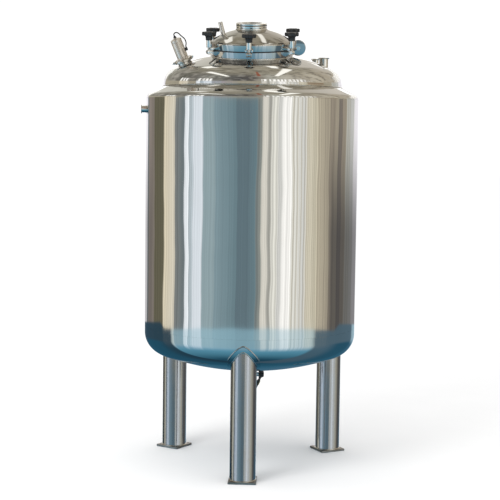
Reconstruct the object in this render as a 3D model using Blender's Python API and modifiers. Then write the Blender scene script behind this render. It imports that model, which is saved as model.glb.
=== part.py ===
"""A jacketed storage tank of polished stainless steel on three tubular legs.

The vessel stands on the floor at z = 0 with its axis on Z. The front, where the front leg and the
manhole are, looks towards -Y. Every length is in metres.
"""

import math

import bmesh
import bpy
from mathutils import Matrix, Vector

# Clearance between pieces that touch
GAP = 0.0003

# Jacket: the outer shell, its bottom head and the closure that joins it to the vessel
JACKET_RADIUS = 0.595
JACKET_WALL = 0.003
JACKET_TOP = 2.047
JACKET_TANGENT = 0.733
STRAIGHT_FLANGE = 0.040
JACKET_CROWN = 1.500
JACKET_KNUCKLE = 0.122
SHOULDER_RADIUS = 0.030
CONE_SLOPE = math.radians(27.3)

# Vessel: the inner shell that holds the product, with a torispherical head at each end
VESSEL_RADIUS = 0.500
VESSEL_WALL = 0.004
VESSEL_RIM = 2.125
VESSEL_BOTTOM_TANGENT = 0.815
VESSEL_CROWN = 2 * VESSEL_RADIUS
VESSEL_KNUCKLE = 0.2 * VESSEL_RADIUS

# Manhole: heights are along its own axis, from the point where that axis leaves the top head
MANHOLE_TILT = math.radians(9.0)
NECK_RADIUS = 0.2245
NECK_WALL = 0.004
NECK_FOOT = -0.035
NECK_TOP = 0.0105
GASKET_TOP = 0.0165
GASKET_REACH = 0.0012
LID_RADIUS = 0.227
LID_WALL = 0.004
LID_CAP_RADIUS = 0.385
LID_CAP_TOP = 0.1279
LID_EDGE_ROUNDING = 0.006
LUG_BOTTOM = 0.017
LUG_TOP = 0.030

# Swing bolts round the manhole
BOLT_ANGLES = (-90, -30, 30, 90, 150, -150)
BOLT_CIRCLE = 0.257
PIVOT_HEIGHT = 0.0055
EYE_RADIUS = 0.014
EYE_WIDTH = 0.014
PIN_RADIUS = 0.005
RUNNING_CLEARANCE = 0.0006
ROD_RADIUS = 0.0074
SLEEVE_RADIUS = 0.016
SLEEVE_TOP = 0.069
ROD_TIP = 0.088
EAR_THICKNESS = 0.006
EAR_RADIUS = 0.0135
EAR_DEPTH = 0.0225
PIN_OVERHANG = 0.002
SLOT_HALF_WIDTH = 0.009
PRONG_THICKNESS = 0.013
HUB_RADIUS = 0.020
STAR_BOTTOM = 0.0937
STAR_TOP = 0.1135
STAR_RADIUS = 0.038
STAR_WAVE = 0.12
STAR_LOBES = 6

# Hinge of the lid, on its +X side
HINGE_CIRCLE = 0.2555
HINGE_HEIGHT = 0.020
CHEEK_RADIUS = 0.041
CHEEK_THICKNESS = 0.006
CHEEK_OFFSET = 0.019
HINGE_ARM_THICKNESS = 0.030
HINGE_ARM_RADIUS = 0.017
HINGE_PIN_RADIUS = 0.009

# Sight glass on the lid
GLASS_RADIUS = 0.0858
GLASS_BORE = 0.055
GLASS_FOOT = 0.108
GLASS_BASE_TOP = 0.1395
PANE_RADIUS = 0.0785
PANE_TOP = 0.1478
GLASS_RIM_BOTTOM = 0.1430
GLASS_RIM_TOP = 0.1525

# Grip post on the lid
GRIP_PLACE = (-0.150, -0.058)
GRIP_RADIUS = 0.0125
GRIP_LENGTH = 0.071
GRIP_LEAN = math.radians(14.5)
GRIP_ROOT = 0.008

# Tank lamp: its axis is square to the top head, and heights are from the head along that axis
LAMP_DIRECTION = (-0.3605, -0.1893)
LAMP_TUBE_RADIUS = 0.038
LAMP_TUBE_WALL = 0.002
LAMP_ROOT = 0.012
LAMP_FLANGE_RADIUS = 0.0455
LAMP_FLANGE_THICKNESS = 0.005
LAMP_SEAM = 0.023
LAMP_BODY_RADIUS = 0.031
LAMP_BODY_TOP = 0.142
LAMP_CONE_TOP = 0.151
LAMP_NECK_RADIUS = 0.010
GLAND_RADIUS = 0.0085
GLAND_TOP = 0.164
LEAD_RADIUS = 0.0028
CONNECTOR_SIZE = (0.011, 0.016, 0.018)
CONNECTOR_PLACE = (0.0372, 0.0745)

# Clamp round the lamp's flanges
CLAMP_OUTER = 0.0525
CLAMP_INNER = 0.0458
CLAMP_HALF_HEIGHT = 0.0085
WING_REACH = 0.066
WING_THICKNESS = 0.014

# Clamp ferrules, each size the radius of its tube and of its flange
SMALL_FERRULE = (0.019, 0.0253)
LARGE_FERRULE = (0.0255, 0.032)
FERRULE_WALL = 0.002
FERRULE_FLANGE_THICKNESS = 0.003
FERRULE_FLANGE_TAPER = 0.003
FERRULE_LENGTH = 0.062
TOP_FERRULES = {
    "ferrule_side": ((0.3965, 0.0210, 2.2830), LARGE_FERRULE),
    "ferrule_back": ((0.3481, 0.1786, 2.2857), SMALL_FERRULE),
}
JACKET_FERRULE_ANGLE = math.radians(188.0)
JACKET_FERRULE_HEIGHT = 1.985
JACKET_FERRULE_FACE = 0.6233
JACKET_FERRULE_ROOT = 0.586

# Legs
LEG_RADIUS = 0.0698
LEG_WALL = 0.003
LEG_CIRCLE = JACKET_RADIUS - LEG_RADIUS
LEG_ANGLES = {"front": -90, "right": 30, "left": 150}
FOOT_SIDE = 0.150
FOOT_THICKNESS = 0.012
PAD_THICKNESS = 0.004
PAD_RADIUS = 0.088
PAD_ARCH_TOP = 0.005
PAD_ARCH_DEPTH = 0.088

# Outlet under the dish and its butterfly valve
OUTLET_RADIUS = 0.0255
OUTLET_WALL = 0.002
OUTLET_FLANGE_RADIUS = 0.032
OUTLET_FLANGE_BOTTOM = 0.5133
OUTLET_FLANGE_TOP = 0.5195
VALVE_RADIUS = 0.039
VALVE_BOTTOM = 0.4613
VALVE_TOP = 0.5127
VALVE_CHAMFER = 0.002
STEM_HEIGHT = 0.487
STEM_RADIUS = 0.006
BOSS_RADIUS = 0.012
BOSS_END = 0.055
VANE_RADIUS = 0.0228
VANE_THICKNESS = 0.005
HANDLE_START = 0.0555
HANDLE_END = 0.085
HANDLE_HUB_RADIUS = 0.0125
HANDLE_THICKNESS = 0.018
HANDLE_SOCKET = 0.013

# Steps in a full turn. The largest count puts an edge of the shells over each leg
SHELL_STEPS = 48
MANHOLE_STEPS = 36
LEG_STEPS = 24
FITTING_STEPS = 20
BOLT_STEPS = 12
CROWN_STEPS = 4
KNUCKLE_STEPS = 4

PARTS_NAME = "storage_tank"
CUTTERS_NAME = "cutters"

# Turns Z to -Y, so that a turned shape lies across
ACROSS = Matrix.Rotation(math.radians(90.0), 4, "X")
# Turns Z to +X
SIDEWAYS = Matrix.Rotation(math.radians(90.0), 4, "Y")
# Stands an outline up, its face looking along +X
FACING_OUT = Matrix(((0, 0, 1, 0), (1, 0, 0, 0), (0, 1, 0, 0), (0, 0, 0, 1)))


def clear_scene():
    """Remove every object of the startup scene."""
    for obj in list(bpy.data.objects):
        bpy.data.objects.remove(obj, do_unlink=True)


def make_collection(name):
    """Add a collection to the scene."""
    collection = bpy.data.collections.new(name)
    bpy.context.scene.collection.children.link(collection)


def make_material(name, colour, roughness, metallic):
    """Return a Principled material."""
    material = bpy.data.materials.new(name)
    material.use_nodes = True
    shader = material.node_tree.nodes["Principled BSDF"]
    shader.inputs["Base Color"].default_value = (*colour, 1.0)
    shader.inputs["Roughness"].default_value = roughness
    shader.inputs["Metallic"].default_value = metallic
    return material


def place(name, mesh, matrix=None, is_cutter=False):
    """Link a mesh as a part, or as a cutter that stays out of the model."""
    obj = bpy.data.objects.new(name, mesh)
    owner = CUTTERS_NAME if is_cutter else PARTS_NAME
    bpy.data.collections[owner].objects.link(obj)
    obj.matrix_world = matrix or Matrix()
    if is_cutter:
        obj.hide_render = True
        obj.display_type = "WIRE"
    return obj


def evaluated_mesh(obj):
    """Return an object's mesh as its modifiers or its curve settings make it."""
    bpy.context.view_layer.update()
    graph = bpy.context.evaluated_depsgraph_get()
    return bpy.data.meshes.new_from_object(obj.evaluated_get(graph))


def bake(obj):
    """Replace an object's mesh with what its modifiers make of it."""
    mesh = evaluated_mesh(obj)
    mesh.name = obj.name
    obj.modifiers.clear()
    obj.data = mesh
    mesh.shade_smooth()
    mesh.set_sharp_from_angle(angle=math.radians(35.0))


def dress(obj, material):
    """Give an object its one material."""
    obj.data.materials.clear()
    obj.data.materials.append(material)


def turned(name, profile, steps, matrix=None, closed=False, is_cutter=False):
    """Turn a profile of (radius, height) points round Z. It runs down the outer side."""
    mesh = bpy.data.meshes.new(name)
    edges = [(i, i + 1) for i in range(len(profile) - 1)]
    if closed:
        edges.append((len(profile) - 1, 0))
    mesh.from_pydata([(radius, 0.0, height) for radius, height in profile], edges, [])
    obj = place(name, mesh, matrix, is_cutter)
    screw = obj.modifiers.new("Screw", "SCREW")
    screw.steps = steps
    screw.render_steps = steps
    screw.use_merge_vertices = True
    screw.merge_threshold = 0.00005
    bake(obj)
    return obj


def bar(name, radius, bottom, top, steps, matrix=None, is_cutter=False):
    """A solid round bar along Z."""
    profile = [(0.0, top), (radius, top), (radius, bottom), (0.0, bottom)]
    return turned(name, profile, steps, matrix, is_cutter=is_cutter)


def tube(name, outer, inner, bottom, top, steps, matrix=None):
    """A tube of rectangular section along Z."""
    profile = [(outer, top), (outer, bottom), (inner, bottom), (inner, top)]
    return turned(name, profile, steps, matrix, closed=True)


def block(name, size, matrix=None, is_cutter=False):
    """A box centred on its own origin."""
    shape = bmesh.new()
    bmesh.ops.create_cube(shape, size=1.0, matrix=Matrix.Diagonal((*size, 1.0)))
    mesh = bpy.data.meshes.new(name)
    shape.to_mesh(mesh)
    shape.free()
    return place(name, mesh, matrix, is_cutter)


def plate(name, outline, thickness, matrix=None, is_cutter=False):
    """A flat plate: an outline in XY, thickened evenly to both sides of it."""
    curve = bpy.data.curves.new(name, "CURVE")
    curve.dimensions = "2D"
    curve.fill_mode = "BOTH"
    curve.extrude = thickness / 2
    spline = curve.splines.new("POLY")
    spline.points.add(len(outline) - 1)
    for point, (x, y) in zip(spline.points, outline):
        point.co = (x, y, 0.0, 1.0)
    spline.use_cyclic_u = True
    return solid_of_curve(name, curve, matrix, is_cutter)


def solid_of_curve(name, curve, matrix, is_cutter=False):
    """Turn a curve into a closed mesh object and drop the curve."""
    drawn = bpy.data.objects.new(name + "_curve", curve)
    bpy.data.collections[PARTS_NAME].objects.link(drawn)
    mesh = evaluated_mesh(drawn)
    bpy.data.objects.remove(drawn, do_unlink=True)
    shape = bmesh.new()
    shape.from_mesh(mesh)
    bmesh.ops.remove_doubles(shape, verts=shape.verts, dist=0.00002)
    bmesh.ops.recalc_face_normals(shape, faces=shape.faces)
    shape.to_mesh(mesh)
    shape.free()
    return place(name, mesh, matrix, is_cutter)


def combine(obj, other, operation):
    """Cut, join or intersect an object with another one."""
    boolean = obj.modifiers.new(other.name, "BOOLEAN")
    boolean.operation = operation
    boolean.solver = "EXACT"
    boolean.object = other
    bake(obj)


def cut(obj, *cutters):
    """Cut each cutter out of an object."""
    for cutter in cutters:
        combine(obj, cutter, "DIFFERENCE")


def join(obj, *others):
    """Join other solids into an object, which uses them up."""
    for other in others:
        combine(obj, other, "UNION")
        bpy.data.objects.remove(other, do_unlink=True)


def arc(radius, start, end, steps):
    """Points of an arc about the origin, its angles in degrees."""
    points = []
    for i in range(steps + 1):
        angle = math.radians(start + (end - start) * i / steps)
        points.append((radius * math.cos(angle), radius * math.sin(angle)))
    return points


def head_points(radius, crown, knuckle, grow):
    """Points of a torispherical head from its apex to its rim, as heights over the rim."""
    edge = math.asin((radius - knuckle) / (crown - knuckle))
    centre = -math.sqrt((crown - knuckle) ** 2 - (radius - knuckle) ** 2)
    points = []
    for i in range(CROWN_STEPS + 1):
        angle = edge * i / CROWN_STEPS
        reach = crown + grow
        points.append((reach * math.sin(angle), centre + reach * math.cos(angle)))
    for i in range(1, KNUCKLE_STEPS):
        angle = edge + (math.pi / 2 - edge) * i / KNUCKLE_STEPS
        reach = knuckle + grow
        points.append((radius - knuckle + reach * math.sin(angle), reach * math.cos(angle)))
    return points + [(radius + grow, 0.0)]


def vessel_head(grow=0.0):
    """The curve of the vessel's heads."""
    return head_points(VESSEL_RADIUS, VESSEL_CROWN, VESSEL_KNUCKLE, grow)


def jacket_head(grow=0.0):
    """The jacket's bottom head as (radius, height) points from its apex to its tangent line."""
    points = head_points(JACKET_RADIUS, JACKET_CROWN, JACKET_KNUCKLE, grow)
    return [(radius, JACKET_TANGENT - height) for radius, height in points]


def radial(angle, radius=0.0, height=0.0):
    """A frame turned about Z by an angle in degrees and moved out along its own X."""
    turn = Matrix.Rotation(math.radians(angle), 4, "Z")
    return turn @ Matrix.Translation((radius, 0.0, height))


def crown_centre():
    """Centre of the sphere that the top head's crown is part of."""
    return Vector((0.0, 0.0, VESSEL_RIM + vessel_head()[0][1] - VESSEL_CROWN))


def manhole_frame():
    """Frame of the manhole: on the top head, leaning to the front, Z along its axis."""
    lean = Matrix.Rotation(MANHOLE_TILT, 4, "X")
    return Matrix.Translation(crown_centre()) @ lean @ Matrix.Translation((0, 0, VESSEL_CROWN))


def lamp_frame():
    """Frame of the lamp: on the top head and square to it, X to the right as seen from the front."""
    x, y = LAMP_DIRECTION
    normal = Vector((x, y, math.sqrt(1.0 - x * x - y * y)))
    right = (Vector((1, 0, 0)) - normal * normal.x).normalized()
    axes = Matrix((right, normal.cross(right), normal)).transposed().to_4x4()
    return Matrix.Translation(crown_centre() + normal * VESSEL_CROWN) @ axes


def grip_frame():
    """Frame of the grip post: on the lid's cap, leaning to the left."""
    x, y = GRIP_PLACE
    height = LID_CAP_TOP - LID_CAP_RADIUS + math.sqrt(LID_CAP_RADIUS**2 - x * x - y * y)
    lean = Matrix.Rotation(-GRIP_LEAN, 4, "Y")
    return manhole_frame() @ Matrix.Translation((x, y, height)) @ lean


def hinge_frame():
    """Frame of the lid's hinge, its pin along Y."""
    return manhole_frame() @ Matrix.Translation((HINGE_CIRCLE, 0, HINGE_HEIGHT))


def jacket_ferrule_frame():
    """Frame of the ferrule on the jacket's side, Z pointing out of its flange."""
    turn = Matrix.Rotation(JACKET_FERRULE_ANGLE, 4, "Z")
    face = Matrix.Translation((JACKET_FERRULE_FACE, 0, JACKET_FERRULE_HEIGHT))
    return turn @ face @ SIDEWAYS


def build_jacket(steel):
    """The outer shell with its bottom head and its closure round the vessel."""
    seam = JACKET_TANGENT + STRAIGHT_FLANGE
    inner = JACKET_RADIUS - JACKET_WALL
    shell = tube("jacket_shell", JACKET_RADIUS, inner, seam + GAP, JACKET_TOP - GAP, SHELL_STEPS)
    tube_hole = SMALL_FERRULE[0] + GAP
    frame = jacket_ferrule_frame()
    cut(shell, bar("jacket_ferrule_hole", tube_hole, -0.12, 0.0, FITTING_STEPS, frame, is_cutter=True))
    rims = [(inner, seam), (JACKET_RADIUS, seam)]
    dish = jacket_head(-JACKET_WALL) + rims + jacket_head()[::-1]
    head = turned("jacket_bottom_head", dish, SHELL_STEPS)
    cut(head, bar("outlet_hole", OUTLET_RADIUS + GAP, 0.45, 0.70, FITTING_STEPS, is_cutter=True))
    outer = shoulder_points(JACKET_RADIUS, SHOULDER_RADIUS)
    under = shoulder_points(inner, SHOULDER_RADIUS - JACKET_WALL)
    closure = turned("jacket_closure", outer + under[::-1], SHELL_STEPS, closed=True)
    for obj in (shell, head, closure):
        dress(obj, steel)


def shoulder_points(radius, rounding):
    """One side of the closure's section, from the vessel down to the top of the jacket's shell."""
    start = VESSEL_RADIUS + GAP
    points = []
    for x, z in arc(rounding, 90.0 - math.degrees(CONE_SLOPE), 0.0, KNUCKLE_STEPS):
        points.append((radius - rounding + x, JACKET_TOP + z))
    tangent_radius, tangent_height = points[0]
    top = tangent_height + (tangent_radius - start) * math.tan(CONE_SLOPE)
    return [(start, top)] + points


def build_vessel(steel):
    """The inner shell, its bottom head and its top head with the holes for what stands on it."""
    inner = VESSEL_RADIUS - VESSEL_WALL
    bottom, top = VESSEL_BOTTOM_TANGENT + GAP, VESSEL_RIM - GAP
    shell = tube("vessel_shell", VESSEL_RADIUS, inner, bottom, top, SHELL_STEPS)
    outside = [(r, VESSEL_BOTTOM_TANGENT - h) for r, h in vessel_head()]
    inside = [(r, VESSEL_BOTTOM_TANGENT - h) for r, h in vessel_head(-VESSEL_WALL)]
    low_head = turned("vessel_bottom_head", inside + outside[::-1], LEG_STEPS)
    cut(low_head, bpy.data.objects["outlet_hole"])
    over = [(r, VESSEL_RIM + h) for r, h in vessel_head()]
    under = [(r, VESSEL_RIM + h) for r, h in vessel_head(-VESSEL_WALL)]
    top_head = turned("top_head", over + under[::-1], SHELL_STEPS)
    cut(top_head, *top_head_holes())
    for obj in (shell, low_head, top_head):
        dress(obj, steel)


def top_head_holes():
    """Cutters for the manhole, the lamp and the two ferrules."""
    neck = NECK_RADIUS + GAP
    holes = [bar("manhole_hole", neck, -0.10, 0.05, MANHOLE_STEPS, manhole_frame(), is_cutter=True)]
    lamp = LAMP_TUBE_RADIUS + GAP
    holes.append(bar("lamp_hole", lamp, -0.03, 0.03, FITTING_STEPS, lamp_frame(), is_cutter=True))
    for name, (spot, (tube_radius, _)) in TOP_FERRULES.items():
        matrix = Matrix.Translation(spot)
        radius = tube_radius + GAP
        holes.append(bar(name + "_hole", radius, -0.12, 0.01, FITTING_STEPS, matrix, is_cutter=True))
    return holes


def build_manhole(steel, rubber, glass):
    """Neck, gasket, lid and sight glass, all on the manhole's own axis."""
    frame = manhole_frame()
    inner = NECK_RADIUS - NECK_WALL
    neck = tube("manhole_neck", NECK_RADIUS, inner, NECK_FOOT, NECK_TOP, MANHOLE_STEPS, frame)
    for angle in BOLT_ANGLES:
        join(neck, *clevis(frame, angle))
    low, high = NECK_TOP + GAP, GASKET_TOP
    outer = NECK_RADIUS + GASKET_REACH
    gasket = tube("manhole_gasket", outer, inner + GASKET_REACH, low, high, MANHOLE_STEPS, frame)
    lid = build_lid(frame)
    dress(neck, steel)
    dress(gasket, rubber)
    dress(lid, steel)
    build_sight_glass(frame, steel, glass)
    top = GRIP_LENGTH - 0.002
    profile = [(0.0, GRIP_LENGTH), (GRIP_RADIUS - 0.002, GRIP_LENGTH), (GRIP_RADIUS, top)]
    profile += [(GRIP_RADIUS, -GRIP_ROOT), (0.0, -GRIP_ROOT)]
    dress(turned("lid_grip", profile, FITTING_STEPS, grip_frame()), steel)


def clevis(frame, angle):
    """Two ears and the pin between them, which carry one swing bolt."""
    pivot = frame @ radial(angle, BOLT_CIRCLE, PIVOT_HEIGHT)
    root = -(BOLT_CIRCLE - NECK_RADIUS) - NECK_WALL / 2
    outline = [(root, -EAR_DEPTH)] + arc(EAR_RADIUS, -75.0, 50.0, 5)
    outline += [(-EAR_RADIUS, outline[-1][1]), (root, 0.3 * EAR_RADIUS)]
    middle = EYE_WIDTH / 2 + RUNNING_CLEARANCE + EAR_THICKNESS / 2
    pieces = []
    for side in (-1, 1):
        matrix = pivot @ Matrix.Translation((0, side * middle, 0)) @ ACROSS
        pieces.append(plate("ear", outline, EAR_THICKNESS, matrix))
    reach = middle + EAR_THICKNESS / 2 + PIN_OVERHANG
    pieces.append(bar("pin", PIN_RADIUS, -reach, reach, BOLT_STEPS, pivot @ ACROSS))
    return pieces


def build_lid(frame):
    """The domed lid with six forked lugs and the arm of its hinge."""
    lid = turned("manhole_lid", lid_points(), MANHOLE_STEPS, frame)
    middle = (LUG_BOTTOM + LUG_TOP) / 2
    start = LID_RADIUS - LID_WALL / 2
    length = BOLT_CIRCLE - start
    width = 2 * (SLOT_HALF_WIDTH + PRONG_THICKNESS)
    slot_start = LID_RADIUS + LID_EDGE_ROUNDING
    slot_length = BOLT_CIRCLE + SLEEVE_RADIUS - slot_start
    for angle in BOLT_ANGLES:
        lug_size = (length, width, LUG_TOP - LUG_BOTTOM)
        join(lid, block("lug", lug_size, frame @ radial(angle, start + length / 2, middle)))
        slot_size = (slot_length, 2 * SLOT_HALF_WIDTH, 0.05)
        matrix = frame @ radial(angle, slot_start + slot_length / 2, middle)
        cut(lid, block("lug_slot", slot_size, matrix, is_cutter=True))
    arm_root = LID_RADIUS - LID_WALL / 2 - HINGE_CIRCLE
    outline = [(arm_root, 0.026), (arm_root, 0.002)] + arc(HINGE_ARM_RADIUS, -120.0, 90.0, 7)
    join(lid, plate("hinge_arm", outline, HINGE_ARM_THICKNESS, hinge_frame() @ ACROSS))
    cut(lid, hinge_pin_hole())
    cut(lid, bar("glass_hole", GLASS_RADIUS + GAP, 0.08, 0.20, MANHOLE_STEPS, frame, is_cutter=True))
    grip = GRIP_RADIUS + GAP
    cut(lid, bar("grip_hole", grip, -0.02, 0.03, FITTING_STEPS, grip_frame(), is_cutter=True))
    return lid


def lid_points():
    """Section of the lid: a skirt with a rounded edge under a spherical cap, one wall thick."""
    centre = LID_CAP_TOP - LID_CAP_RADIUS
    edge = math.asin((LID_RADIUS - LID_EDGE_ROUNDING) / LID_CAP_RADIUS)
    over, under = [], []
    for i in range(CROWN_STEPS + 1):
        angle = edge * i / CROWN_STEPS
        reach = LID_CAP_RADIUS - LID_WALL
        over.append((LID_CAP_RADIUS * math.sin(angle), centre + LID_CAP_RADIUS * math.cos(angle)))
        under.append((reach * math.sin(angle), centre + reach * math.cos(angle)))
    bottom = GASKET_TOP + GAP
    skirt = LID_RADIUS - LID_WALL
    over += [(LID_RADIUS, over[-1][1] - LID_EDGE_ROUNDING), (LID_RADIUS, bottom)]
    under.append((skirt, under[-1][1] - LID_EDGE_ROUNDING))
    return over + [(skirt, bottom)] + under[::-1]


def hinge_pin_hole():
    """Cutter for the hinge's pin."""
    radius = HINGE_PIN_RADIUS + GAP
    return bar("hinge_pin_hole", radius, -0.05, 0.05, BOLT_STEPS, hinge_frame() @ ACROSS, is_cutter=True)


def build_lid_hinge(steel):
    """Two round cheeks beside the lid's arm, and the pin through them."""
    frame = hinge_frame()
    manhole = manhole_frame()
    radius, seam = NECK_RADIUS + GAP, NECK_TOP
    neck_space = bar("neck_space", radius, -0.10, seam, MANHOLE_STEPS, manhole, is_cutter=True)
    radius = LID_RADIUS + GAP
    lid_space = bar("lid_space", radius, seam, 0.15, MANHOLE_STEPS, manhole, is_cutter=True)
    half = CHEEK_THICKNESS / 2
    for side, name in ((-1, "front"), (1, "back")):
        matrix = frame @ Matrix.Translation((0, side * CHEEK_OFFSET, 0)) @ ACROSS
        cheek = bar(f"hinge_cheek_{name}", CHEEK_RADIUS, -half, half, LEG_STEPS, matrix)
        cut(cheek, neck_space, lid_space, hinge_pin_hole())
        dress(cheek, steel)
    reach = CHEEK_OFFSET + half + PIN_OVERHANG
    dress(bar("hinge_pin", HINGE_PIN_RADIUS, -reach, reach, BOLT_STEPS, frame @ ACROSS), steel)


def build_sight_glass(frame, steel, glass):
    """Base ring let into the lid, the pane on it and the clamping rim over the pane."""
    bottom, top = GLASS_FOOT, GLASS_BASE_TOP
    base = tube("sight_glass_base", GLASS_RADIUS, GLASS_BORE, bottom, top, MANHOLE_STEPS, frame)
    bottom, top = GLASS_BASE_TOP + GAP, PANE_TOP
    pane = bar("sight_glass_pane", PANE_RADIUS, bottom, top, MANHOLE_STEPS, frame)
    seat = PANE_RADIUS + GAP
    profile = [
        (GLASS_RADIUS, GLASS_RIM_TOP),
        (GLASS_RADIUS, GLASS_RIM_BOTTOM),
        (seat, GLASS_RIM_BOTTOM),
        (seat, PANE_TOP + GAP),
        (GLASS_BORE, PANE_TOP + GAP),
        (GLASS_BORE, GLASS_RIM_TOP),
    ]
    rim = turned("sight_glass_rim", profile, MANHOLE_STEPS, frame, closed=True)
    dress(base, steel)
    dress(pane, glass)
    dress(rim, steel)


def build_swing_bolts(steel, plastic):
    """Six swing bolts with their bearing sleeves, and the star knobs on them."""
    bolt_mesh = swing_bolt_mesh()
    knob_mesh = star_knob_mesh()
    bolt_mesh.materials.append(steel)
    knob_mesh.materials.append(plastic)
    for number, angle in enumerate(BOLT_ANGLES, 1):
        pivot = manhole_frame() @ radial(angle, BOLT_CIRCLE, PIVOT_HEIGHT)
        place(f"swing_bolt_{number}", bolt_mesh, pivot)
        seat = pivot @ Matrix.Translation((0, 0, SLEEVE_TOP - PIVOT_HEIGHT))
        place(f"star_knob_{number}", knob_mesh, seat)


def swing_bolt_mesh():
    """Eye, rod and sleeve as one solid, its origin on the pivot pin's axis."""
    bottom = LUG_TOP + GAP - PIVOT_HEIGHT
    top = SLEEVE_TOP - PIVOT_HEIGHT
    tip = ROD_TIP - PIVOT_HEIGHT
    foot = PIN_RADIUS + 0.002
    profile = [
        (0.0, tip),
        (ROD_RADIUS, tip),
        (ROD_RADIUS, top),
        (SLEEVE_RADIUS, top),
        (SLEEVE_RADIUS, bottom),
        (ROD_RADIUS, bottom),
        (ROD_RADIUS, foot),
        (0.0, foot),
    ]
    bolt = turned("bolt", profile, BOLT_STEPS)
    join(bolt, bar("eye", EYE_RADIUS, -EYE_WIDTH / 2, EYE_WIDTH / 2, LEG_STEPS, ACROSS))
    radius = PIN_RADIUS + RUNNING_CLEARANCE
    cut(bolt, bar("eye_hole", radius, -0.02, 0.02, BOLT_STEPS, ACROSS, is_cutter=True))
    mesh = bolt.data
    bpy.data.objects.remove(bolt, do_unlink=True)
    return mesh


def star_knob_mesh():
    """A lobed plate on a hub with a blind bore, its origin on the top of the bolt's sleeve."""
    count = STAR_LOBES * 4
    outline = []
    for i in range(count):
        angle = 2 * math.pi * i / count
        reach = STAR_RADIUS * (1 - STAR_WAVE - STAR_WAVE * math.cos(STAR_LOBES * angle))
        outline.append((reach * math.cos(angle), reach * math.sin(angle)))
    middle = (STAR_TOP + STAR_BOTTOM) / 2 - SLEEVE_TOP
    star = plate("star", outline, STAR_TOP - STAR_BOTTOM, Matrix.Translation((0, 0, middle)))
    bore = ROD_RADIUS + RUNNING_CLEARANCE
    bore_top = ROD_TIP - SLEEVE_TOP + RUNNING_CLEARANCE
    hub_top = STAR_BOTTOM - SLEEVE_TOP + 0.004
    profile = [
        (0.0, hub_top),
        (HUB_RADIUS, hub_top),
        (HUB_RADIUS, GAP),
        (bore, GAP),
        (bore, bore_top),
        (0.0, bore_top),
    ]
    hub = turned("hub", profile, BOLT_STEPS)
    join(hub, star)
    mesh = hub.data
    bpy.data.objects.remove(hub, do_unlink=True)
    return mesh


def build_lamp(steel, satin, plastic):
    """Socket, clamp, housing, gland, lead and connector on the lamp's own axis."""
    frame = lamp_frame()
    flange = LAMP_SEAM - LAMP_FLANGE_THICKNESS
    inner = LAMP_TUBE_RADIUS - LAMP_TUBE_WALL
    socket_profile = [
        (LAMP_FLANGE_RADIUS, LAMP_SEAM - GAP),
        (LAMP_FLANGE_RADIUS, flange),
        (LAMP_TUBE_RADIUS, flange - 0.002),
        (LAMP_TUBE_RADIUS, -LAMP_ROOT),
        (inner, -LAMP_ROOT),
        (inner, LAMP_SEAM - GAP),
    ]
    socket = turned("lamp_socket", socket_profile, FITTING_STEPS, frame, closed=True)
    housing_profile = [
        (0.0, LAMP_CONE_TOP),
        (LAMP_NECK_RADIUS, LAMP_CONE_TOP),
        (LAMP_BODY_RADIUS, LAMP_BODY_TOP),
        (LAMP_BODY_RADIUS, LAMP_SEAM + LAMP_FLANGE_THICKNESS + 0.002),
        (LAMP_FLANGE_RADIUS, LAMP_SEAM + LAMP_FLANGE_THICKNESS),
        (LAMP_FLANGE_RADIUS, LAMP_SEAM),
        (0.0, LAMP_SEAM),
    ]
    housing = turned("lamp_housing", housing_profile, FITTING_STEPS, frame)
    gland_profile = [
        (0.0, GLAND_TOP),
        (GLAND_RADIUS * 0.6, GLAND_TOP),
        (GLAND_RADIUS, GLAND_TOP - 0.004),
        (GLAND_RADIUS, LAMP_CONE_TOP + GAP),
        (0.0, LAMP_CONE_TOP + GAP),
    ]
    gland = turned("lamp_gland", gland_profile, BOLT_STEPS, frame)
    x, z = CONNECTOR_PLACE
    connector = block("lamp_connector", CONNECTOR_SIZE, frame @ Matrix.Translation((x, 0, z)))
    for obj, material in (
        (socket, steel),
        (build_clamp(frame), steel),
        (housing, satin),
        (gland, plastic),
        (connector, plastic),
        (build_lead(frame), plastic),
    ):
        dress(obj, material)


def build_clamp(frame):
    """The clamp ring round the lamp's flanges, with its wing nut's lug to the left."""
    low, high = LAMP_SEAM - CLAMP_HALF_HEIGHT, LAMP_SEAM + CLAMP_HALF_HEIGHT
    clamp = tube("lamp_clamp", CLAMP_OUTER, CLAMP_INNER, low, high, FITTING_STEPS, frame)
    start = CLAMP_OUTER - 0.003
    length = WING_REACH - start
    size = (length, WING_THICKNESS, 2 * CLAMP_HALF_HEIGHT - 0.003)
    matrix = frame @ Matrix.Translation((-start - length / 2, 0, LAMP_SEAM))
    join(clamp, block("wing", size, matrix))
    return clamp


def build_lead(frame):
    """The lamp's short lead: up out of the gland, over, and down to the connector."""
    below = CONNECTOR_PLACE[1] + CONNECTOR_SIZE[2] / 2 + GAP
    route = [
        (0.0000, GLAND_TOP + GAP),
        (0.0000, 0.1690),
        (0.0040, 0.1745),
        (0.0120, 0.1770),
        (0.0210, 0.1740),
        (0.0280, 0.1660),
        (0.0330, 0.1550),
        (0.0385, 0.1450),
        (0.0440, 0.1350),
        (0.0475, 0.1240),
        (0.0480, 0.1120),
        (0.0450, 0.1010),
        (0.0405, 0.0930),
        (CONNECTOR_PLACE[0] + 0.001, below + LEAD_RADIUS),
        (CONNECTOR_PLACE[0] + 0.001, below),
    ]
    curve = bpy.data.curves.new("lamp_lead", "CURVE")
    curve.dimensions = "3D"
    curve.bevel_depth = LEAD_RADIUS
    curve.bevel_resolution = 2
    curve.use_fill_caps = True
    spline = curve.splines.new("POLY")
    spline.points.add(len(route) - 1)
    for point, (x, z) in zip(spline.points, route):
        point.co = (x, 0.0, z, 1.0)
    return solid_of_curve("lamp_lead", curve, frame)


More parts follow.
